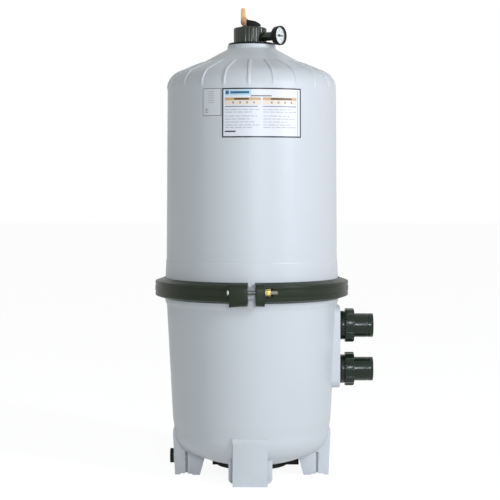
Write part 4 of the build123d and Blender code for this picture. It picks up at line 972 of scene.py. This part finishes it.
def digits(text, height):
    """Raised digits as a bmesh in the XY plane."""
    curve = bpy.data.curves.new("digits", "FONT")
    curve.body = text
    curve.size = height * MM
    curve.align_x = "CENTER"
    curve.align_y = "CENTER"
    curve.extrude = 0.1 * MM
    obj = bpy.data.objects.new("digits", curve)
    bpy.context.scene.collection.objects.link(obj)
    bm = evaluated(obj)
    bpy.data.objects.remove(obj)
    bpy.data.curves.remove(curve)
    return bm


class FILTER_OT_gauge(bpy.types.Operator):
    """Make the pressure gauge: its stem, case, bezel, window, dial and pointer"""

    bl_idname = "filter.gauge"
    bl_label = "Gauge"

    def execute(self, context):
        place = along_gauge()
        stub = turned([
            (0, 44, 0), (13.5, 44, 0), (13.5, 82, 1), (11, 84, 1), (11, 91, 0), (0, 91, 0)
        ], 4, 64)
        finish_piece("gauge_boss", moved(stub, place), "relief_body", slot="cap_resin")

        case = turned([
            (0, 90, 0), (18, 90, 0), (28, 92.5, 4), (28, 107.5, 0), (25.6, 107.5, 0), (25.6, 94, 0),
            (0, 94, 0)
        ], 5, 96)
        finish_piece("case", moved(case, place), "gauge_case", sharper=40)

        bezel = turned_ring([
            (28.05, 102, 0.3), (29.2, 102, 0.7), (29.2, 112.6, 1.6), (26.3, 112.2, 1), (25.6, 110.2, 0.2),
            (28.05, 110.2, 0.3)
        ], 4, 96)
        finish_piece("bezel", moved(bezel, place), "gauge_bezel", sharper=40)

        lens = turned([(0, 108, 0), (27.9, 108, 0.3), (27.9, 110, 0.3), (0, 110, 0)], 2, 96)
        finish_piece("lens", moved(lens, place), "gauge_lens")

        dial = lathe([(1.4, 103), (25.4, 103), (25.4, 104), (1.4, 104)], 96)
        marks = []
        low_turn, high_turn, long_marks, per_long = 225, -45, 6, 5
        for i in range(long_marks * per_long + 1):
            turn = radians(low_turn + (high_turn - low_turn) * i / (long_marks * per_long))
            long_one = i % per_long == 0
            inner = 18.5 if long_one else 20.8
            half = 0.55 if long_one else 0.3
            tick = prism(
                [(inner, -half), (23.2, -half), (23.2, half), (inner, half)], 0.2, origin=(0, 0, 103.95),
                up=Y_AXIS
            )
            marks.append(moved(tick, place @ Matrix.Rotation(turn, 4, "Z")))
            if long_one:
                number = digits(str(10 * i // per_long), 5.2)
                spot = Vector((14.2 * cos(turn), 14.2 * sin(turn), 104.05)) * MM
                marks.append(moved(number, place @ Matrix.Translation(spot)))
        print_layer = joined(*marks)
        for face in print_layer.faces:
            face.material_index = 1
        finish_piece(
            "dial", joined(moved(dial, place), print_layer), "gauge_dial", material("dial_enamel"),
            material("ink_black")
        )

        hand = prism(
            [(-9, -3), (19, -1.3), (21, 0), (19, 1.3), (-9, 3)], 1.2, origin=(0, 0, 105), up=Y_AXIS
        )
        round_edges(hand, 0.25, 1, 40)
        hub = turned([
            (0, 101, 0), (1.2, 101, 0), (1.2, 104.9, 0), (4.2, 104.9, 0.3), (4.2, 106.7, 0.8), (0, 106.7, 0)
        ], 2, 32)
        pointer = moved(joined(hand, hub), place)
        finish_piece("pointer", pointer, "gauge_pointer")
        return {"FINISHED"}


class FILTER_OT_unions(bpy.types.Operator):
    """Make both ports' bulkheads, union nuts, tailpieces and gaskets"""

    bl_idname = "filter.unions"
    bl_label = "Unions"

    def execute(self, context):
        ribs = context.scene.filter_sizes.union_ribs
        for port, height in PORT_HEIGHTS.items():
            place = along_x(0, height)
            bulkhead = turned_ring([
                (26, 218, 0.5), (31, 218, 0.8), (31, 275.6, 0), (44.5, 275.6, 1), (44.5, 288, 1.2),
                (42, 288.2, 0), (42, 305.9, 0.8), (36.4, 305.9, 0), (36.4, 301, 0), (31.6, 301, 0),
                (31.6, 305.9, 0), (26, 305.9, 0.5)
            ], 3, 128)
            finish_piece(
                f"{port}_collar", moved(bulkhead, place), f"{port}_bulkhead", slot="union_resin", sharper=40
            )

            nut = turned_ring([
                (42.1, 289, 0.6), (51.2, 289, 0), (52.4, 291, 0.8), (52.4, 314.5, 1.5), (50, 317, 0.8),
                (37.1, 317, 0.6), (37.1, 312.1, 0), (42.1, 312.1, 0)
            ], 3, ribs * 14)
            fluted(nut, ribs, 2.4, 290, 316, 48, 0.35)
            finish_piece(f"{port}_ring", moved(nut, place), f"{port}_union_nut", sharper=50)

            tail = turned_ring([
                (26, 306.1, 0.5), (40.9, 306.1, 0.8), (40.9, 311.9, 0.5), (37, 312, 0), (37, 357, 0.6),
                (36.4, 358, 0.4), (36.4, 360, 0.4), (37, 361, 0.6), (37, 376, 1.4), (30.6, 376, 0.8),
                (30.25, 338, 0.5), (26, 338, 0.5)
            ], 3, 128)
            finish_piece(f"{port}_tail_shown", moved(tail, place), f"{port}_tailpiece", sharper=40)

            gasket = turned_ring([
                (31.3, 272.5, 0.3), (43.8, 272.5, 0.8), (43.8, 275.5, 0.8), (31.3, 275.5, 0.3)
            ], 3, 96)
            finish_piece(f"{port}_seal", moved(gasket, place), f"{port}_gasket")
        return {"FINISHED"}


class FILTER_OT_drain(bpy.types.Operator):
    """Make the drain's plug and its gasket"""

    bl_idname = "filter.drain"
    bl_label = "Drain"

    def execute(self, context):
        place = along_x(-245.5, DRAIN_Z, -1)
        count, per = 18, 8
        outer = regular_outline(22.8, count * per, 1)
        square = regular_outline(9, 4, count * per // 4, pi / 4)
        rim = ring_prism(outer, square, 2.6, 8.5)
        round_edges(rim, 1.2, 2, 60)
        body = lathe([
            (0, -20), (15.6, -20), (16.9, -18.6), (16.9, 0), (22.8, 0), (22.8, 2.6), (0, 2.6)
        ], count * per, closed=False)
        fluted(rim, count, 1.3, 0, 7.6, 22, 0.7)
        fluted(body, count, 1.3, 0, 2.7, 22, 0.7)
        plug = moved(joined(rim, body), place)
        finish_piece("drain_cap", plug, "drain_plug", sharper=45)

        gasket = turned_ring([(17, 0, 0.3), (21.8, 0, 0.6), (21.8, 2.5, 0.6), (17, 2.5, 0.3)], 3, 72)
        moved(gasket, along_x(-243, DRAIN_Z, -1))
        finish_piece("drain_seal_ring", gasket, "drain_gasket")
        return {"FINISHED"}


def side_radius(z):
    """Outside radius of the upper tank's straight side at height z."""
    return SKIRT_R + (BODY_R - SKIRT_R) * (z - SKIRT_TOP_Z) / (SHOULDER_Z - SKIRT_TOP_Z)


def sheet_patch(left, right, low, high, inner, outer, index):
    """A thin patch on the tank's side between two angles from the front and two heights."""
    bm = bmesh.new()
    runs = max(1, int((right - left) / 1.5 + 0.9))
    bmesh.ops.create_grid(bm, x_segments=runs, y_segments=1, size=0.5)
    grown = bmesh.ops.extrude_face_region(bm, geom=bm.faces[:])["geom"]
    for v in [g for g in grown if isinstance(g, bmesh.types.BMVert)]:
        v.co.z = 1.0
    for v in bm.verts:
        turn = radians(left + (right - left) * (v.co.x + 0.5))
        z = low + (high - low) * (v.co.y + 0.5)
        r = side_radius(z) + inner + (outer - inner) * v.co.z
        v.co = Vector((r * sin(turn), -r * cos(turn), z)) * MM
    for face in bm.faces:
        face.material_index = index
    bmesh.ops.recalc_face_normals(bm, faces=bm.faces)
    return bm


class FILTER_OT_labels(bpy.types.Operator):
    """Lay the two labels on the tank's side"""

    bl_idname = "filter.labels"
    bl_label = "Labels"

    def lay(self, name, node, box, border, border_index, film_index, patches, inks):
        left, right, low, high = box
        parts = [sheet_patch(*box, 0.02, 0.45, border_index)]
        across = border / side_radius(low) * 180 / pi
        parts.append(sheet_patch(
            left + across, right - across, low + border, high - border, 0.2, 0.5, film_index
        ))
        for start, end, top, bottom, index in patches:
            span, rise = right - left, high - low
            parts.append(sheet_patch(
                left + span * start, left + span * end, high - rise * bottom, high - rise * top, 0.3,
                0.54 if index in self.grounds else 0.58, index
            ))
        finish_piece(name, joined(*parts), node, *inks)

    def execute(self, context):
        inks = [material(name) for name in INKS]
        film, black, sky, blue, ochre, brown, peach, grey, mauve, film_grey = range(10)
        self.grounds = (sky, ochre, peach)
        patches = [
            (0.035, 0.36, 0.035, 0.15, sky), (0.045, 0.085, 0.055, 0.125, blue),
            (0.105, 0.335, 0.068, 0.115, blue), (0.355, 0.61, 0.152, 0.172, brown),
            (0.035, 0.477, 0.195, 0.25, ochre), (0.5, 0.935, 0.195, 0.25, ochre),
            (0.15, 0.33, 0.205, 0.242, brown), (0.6, 0.87, 0.205, 0.242, brown),
            (0.035, 0.477, 0.258, 0.335, peach), (0.5, 0.935, 0.258, 0.335, peach),
            (0.035, 0.44, 0.365, 0.385, mauve), (0.5, 0.93, 0.365, 0.385, mauve),
            (0.035, 0.17, 0.862, 0.89, black), (0.948, 0.958, 0.04, 0.96, grey)
        ]
        for i in range(4):
            patches.append((0.13 + 0.085 * i, 0.15 + 0.085 * i, 0.275, 0.315, mauve))
            patches.append((0.6 + 0.085 * i, 0.62 + 0.085 * i, 0.275, 0.315, mauve))
        lines = (0.43, 0.48, 0.56, 0.62, 0.68, 0.74, 0.79)
        words = (0.05, 0.09, 0.035, 0.07, 0.06, 0.1, 0.045)
        for row, top in enumerate(lines):
            for column, (start, end) in enumerate(((0.04, 0.46), (0.505, 0.93))):
                at = start
                stop = end - (0.03 * ((row * 3 + column * 2) % 5))
                word = row + 2 * column
                while at < stop:
                    width = min(words[word % len(words)], stop - at)
                    patches.append((at, at + width, top, top + 0.017, grey))
                    at += width + 0.012
                    word += 1
        self.lay("main_label", "label_main", (-19.4, 33.6, 1031, 1175), 4.0, black, film, patches, inks)
        small = [(0.32, 0.62, 0.1 + 0.08 * i, 0.13 + 0.08 * i, grey) for i in range(6)]
        small += [(0.12, 0.3, 0.74 + 0.06 * i, 0.765 + 0.06 * i, mauve) for i in range(3)]
        self.lay(
            "small_label", "label_side", (-33.4, -20.0, 1095, 1175), 1.3, black, film_grey, small, inks
        )
        return {"FINISHED"}


class FILTER_OT_inside(bpy.types.Operator):
    """Give every carried-over part of the frame its material"""

    bl_idname = "filter.inside"
    bl_label = "Inside parts"

    def execute(self, context):
        for name, obj in frame["nodes"].items():
            finish = material(SLOTS[name])
            if obj.data.materials:
                for i in range(len(obj.data.materials)):
                    obj.data.materials[i] = finish
            else:
                obj.data.materials.append(finish)
        return {"FINISHED"}


class FILTER_OT_stage(bpy.types.Operator):
    """Set up the floor, the lights, the background and the camera"""

    bl_idname = "filter.stage"
    bl_label = "Stage"

    def execute(self, context):
        scene = context.scene
        bm = bmesh.new()
        bmesh.ops.create_grid(bm, x_segments=1, y_segments=1, size=30)
        bmesh.ops.translate(bm, verts=bm.verts, vec=(0, 0, -0.2 * MM))
        floor = as_object("floor", bm)
        floor.data.materials.append(floor_paper())
        scene.world = studio_world()
        for name, energy, size, height, place, aim in (
            ("key", 86.0, 0.4, 1.5, (2.85, -2.5, 2.1), (0, 0, 0.8)),
            ("front", 14.0, 2.2, 2.2, (0.2, -4.6, 2.3), (0, 0, 0.9)),
            ("strip", 38.0, 0.4, 0.8, (0.68, -4.3, 1.3), (0.34, 0, 0.45)),
            ("left", 2.0, 1.6, 2.2, (-3.4, -1.8, 1.3), (0, 0, 0.7))
        ):
            lamp = bpy.data.lights.new(name, "AREA")
            lamp.shape = "RECTANGLE"
            lamp.size, lamp.size_y = size, height
            lamp.energy = energy
            lamp.color = srgb("f0f5ff")[:3]
            obj = bpy.data.objects.new(name, lamp)
            obj.location = place
            obj.rotation_euler = (Vector(aim) - Vector(place)).to_track_quat("-Z", "Y").to_euler()
            scene.collection.objects.link(obj)
        camera = bpy.data.cameras.new("camera")
        camera.lens, camera.sensor_width = 100.8, 36
        view = bpy.data.objects.new("camera", camera)
        view.location = (0, -4.34, 0.887)
        view.rotation_euler = (radians(90 - 2.577), 0, radians(0.0716))
        scene.collection.objects.link(view)
        scene.camera = view
        scene.view_settings.view_transform = "Standard"
        return {"FINISHED"}


def seen_rays(tree):
    """1 for rays that show the background: from the camera, in a reflection, or through glass."""
    path = add_node(tree, "ShaderNodeLightPath")
    camera_or_glossy = {0: path.outputs["Is Camera Ray"], 1: path.outputs["Is Glossy Ray"]}
    either = calculate(tree, "MAXIMUM", links=camera_or_glossy)
    return calculate(tree, "MAXIMUM", links={0: either, 1: path.outputs["Is Transmission Ray"]})


def floor_paper():
    """White background paper: matt, and lit evenly where it is seen, with a trace of the shadow kept."""
    paper = bpy.data.materials.new("background_paper")
    tree = empty_tree(paper)
    matt = add_node(tree, "ShaderNodeBsdfDiffuse", {"Color": srgb("ffffff")})
    glow = add_node(tree, "ShaderNodeEmission", {"Color": srgb("ffffff"), "Strength": 1.12})
    kept = calculate(tree, "MULTIPLY", {1: 0.82}, {0: seen_rays(tree)})
    both = add_node(tree, "ShaderNodeMixShader", links={
        0: kept, 1: matt.outputs["BSDF"], 2: glow.outputs["Emission"]
    })
    add_node(tree, "ShaderNodeOutputMaterial", links={"Surface": both.outputs["Shader"]})
    return paper


def studio_world():
    """A white surround where it is seen, and a soft even light from it."""
    world = bpy.data.worlds.new("studio")
    tree = empty_tree(world)
    soft = add_node(tree, "ShaderNodeBackground", {"Color": srgb("eef8f2"), "Strength": 0.34})
    white = add_node(tree, "ShaderNodeBackground", {"Color": srgb("ffffff"), "Strength": 1.0})
    both = add_node(tree, "ShaderNodeMixShader", links={
        0: seen_rays(tree), 1: soft.outputs["Background"], 2: white.outputs["Background"]
    })
    add_node(tree, "ShaderNodeOutputWorld", links={"Surface": both.outputs["Shader"]})
    return world


OPERATORS = (
    FILTER_OT_inside, FILTER_OT_upper_tank, FILTER_OT_lower_tank, FILTER_OT_legs, FILTER_OT_cradle,
    FILTER_OT_clamp, FILTER_OT_clamp_fastener, FILTER_OT_valve, FILTER_OT_lever, FILTER_OT_gauge,
    FILTER_OT_unions, FILTER_OT_drain, FILTER_OT_labels, FILTER_OT_stage
)


class VIEW3D_PT_filter(bpy.types.Panel):
    bl_label = "Cartridge filter"
    bl_idname = "VIEW3D_PT_filter"
    bl_space_type = "VIEW_3D"
    bl_region_type = "UI"
    bl_category = "Filter"

    def draw(self, context):
        layout = self.layout
        for group in (context.scene.filter_sizes, context.scene.filter_colours):
            for name in group.__annotations__:
                layout.prop(group, name)
        for operator in OPERATORS:
            layout.operator(operator.bl_idname)


CLASSES = (FilterColours, FilterSizes, *OPERATORS, VIEW3D_PT_filter)


def register():
    for cls in CLASSES:
        bpy.utils.register_class(cls)
    bpy.types.Scene.filter_colours = bpy.props.PointerProperty(type=FilterColours)
    bpy.types.Scene.filter_sizes = bpy.props.PointerProperty(type=FilterSizes)


def unregister():
    del bpy.types.Scene.filter_sizes
    del bpy.types.Scene.filter_colours
    for cls in reversed(CLASSES):
        bpy.utils.unregister_class(cls)


def main():
    register()
    for operator in OPERATORS:
        category, name = operator.bl_idname.split(".")
        getattr(getattr(bpy.ops, category), name)()


if __name__ == "__main__":
    main()
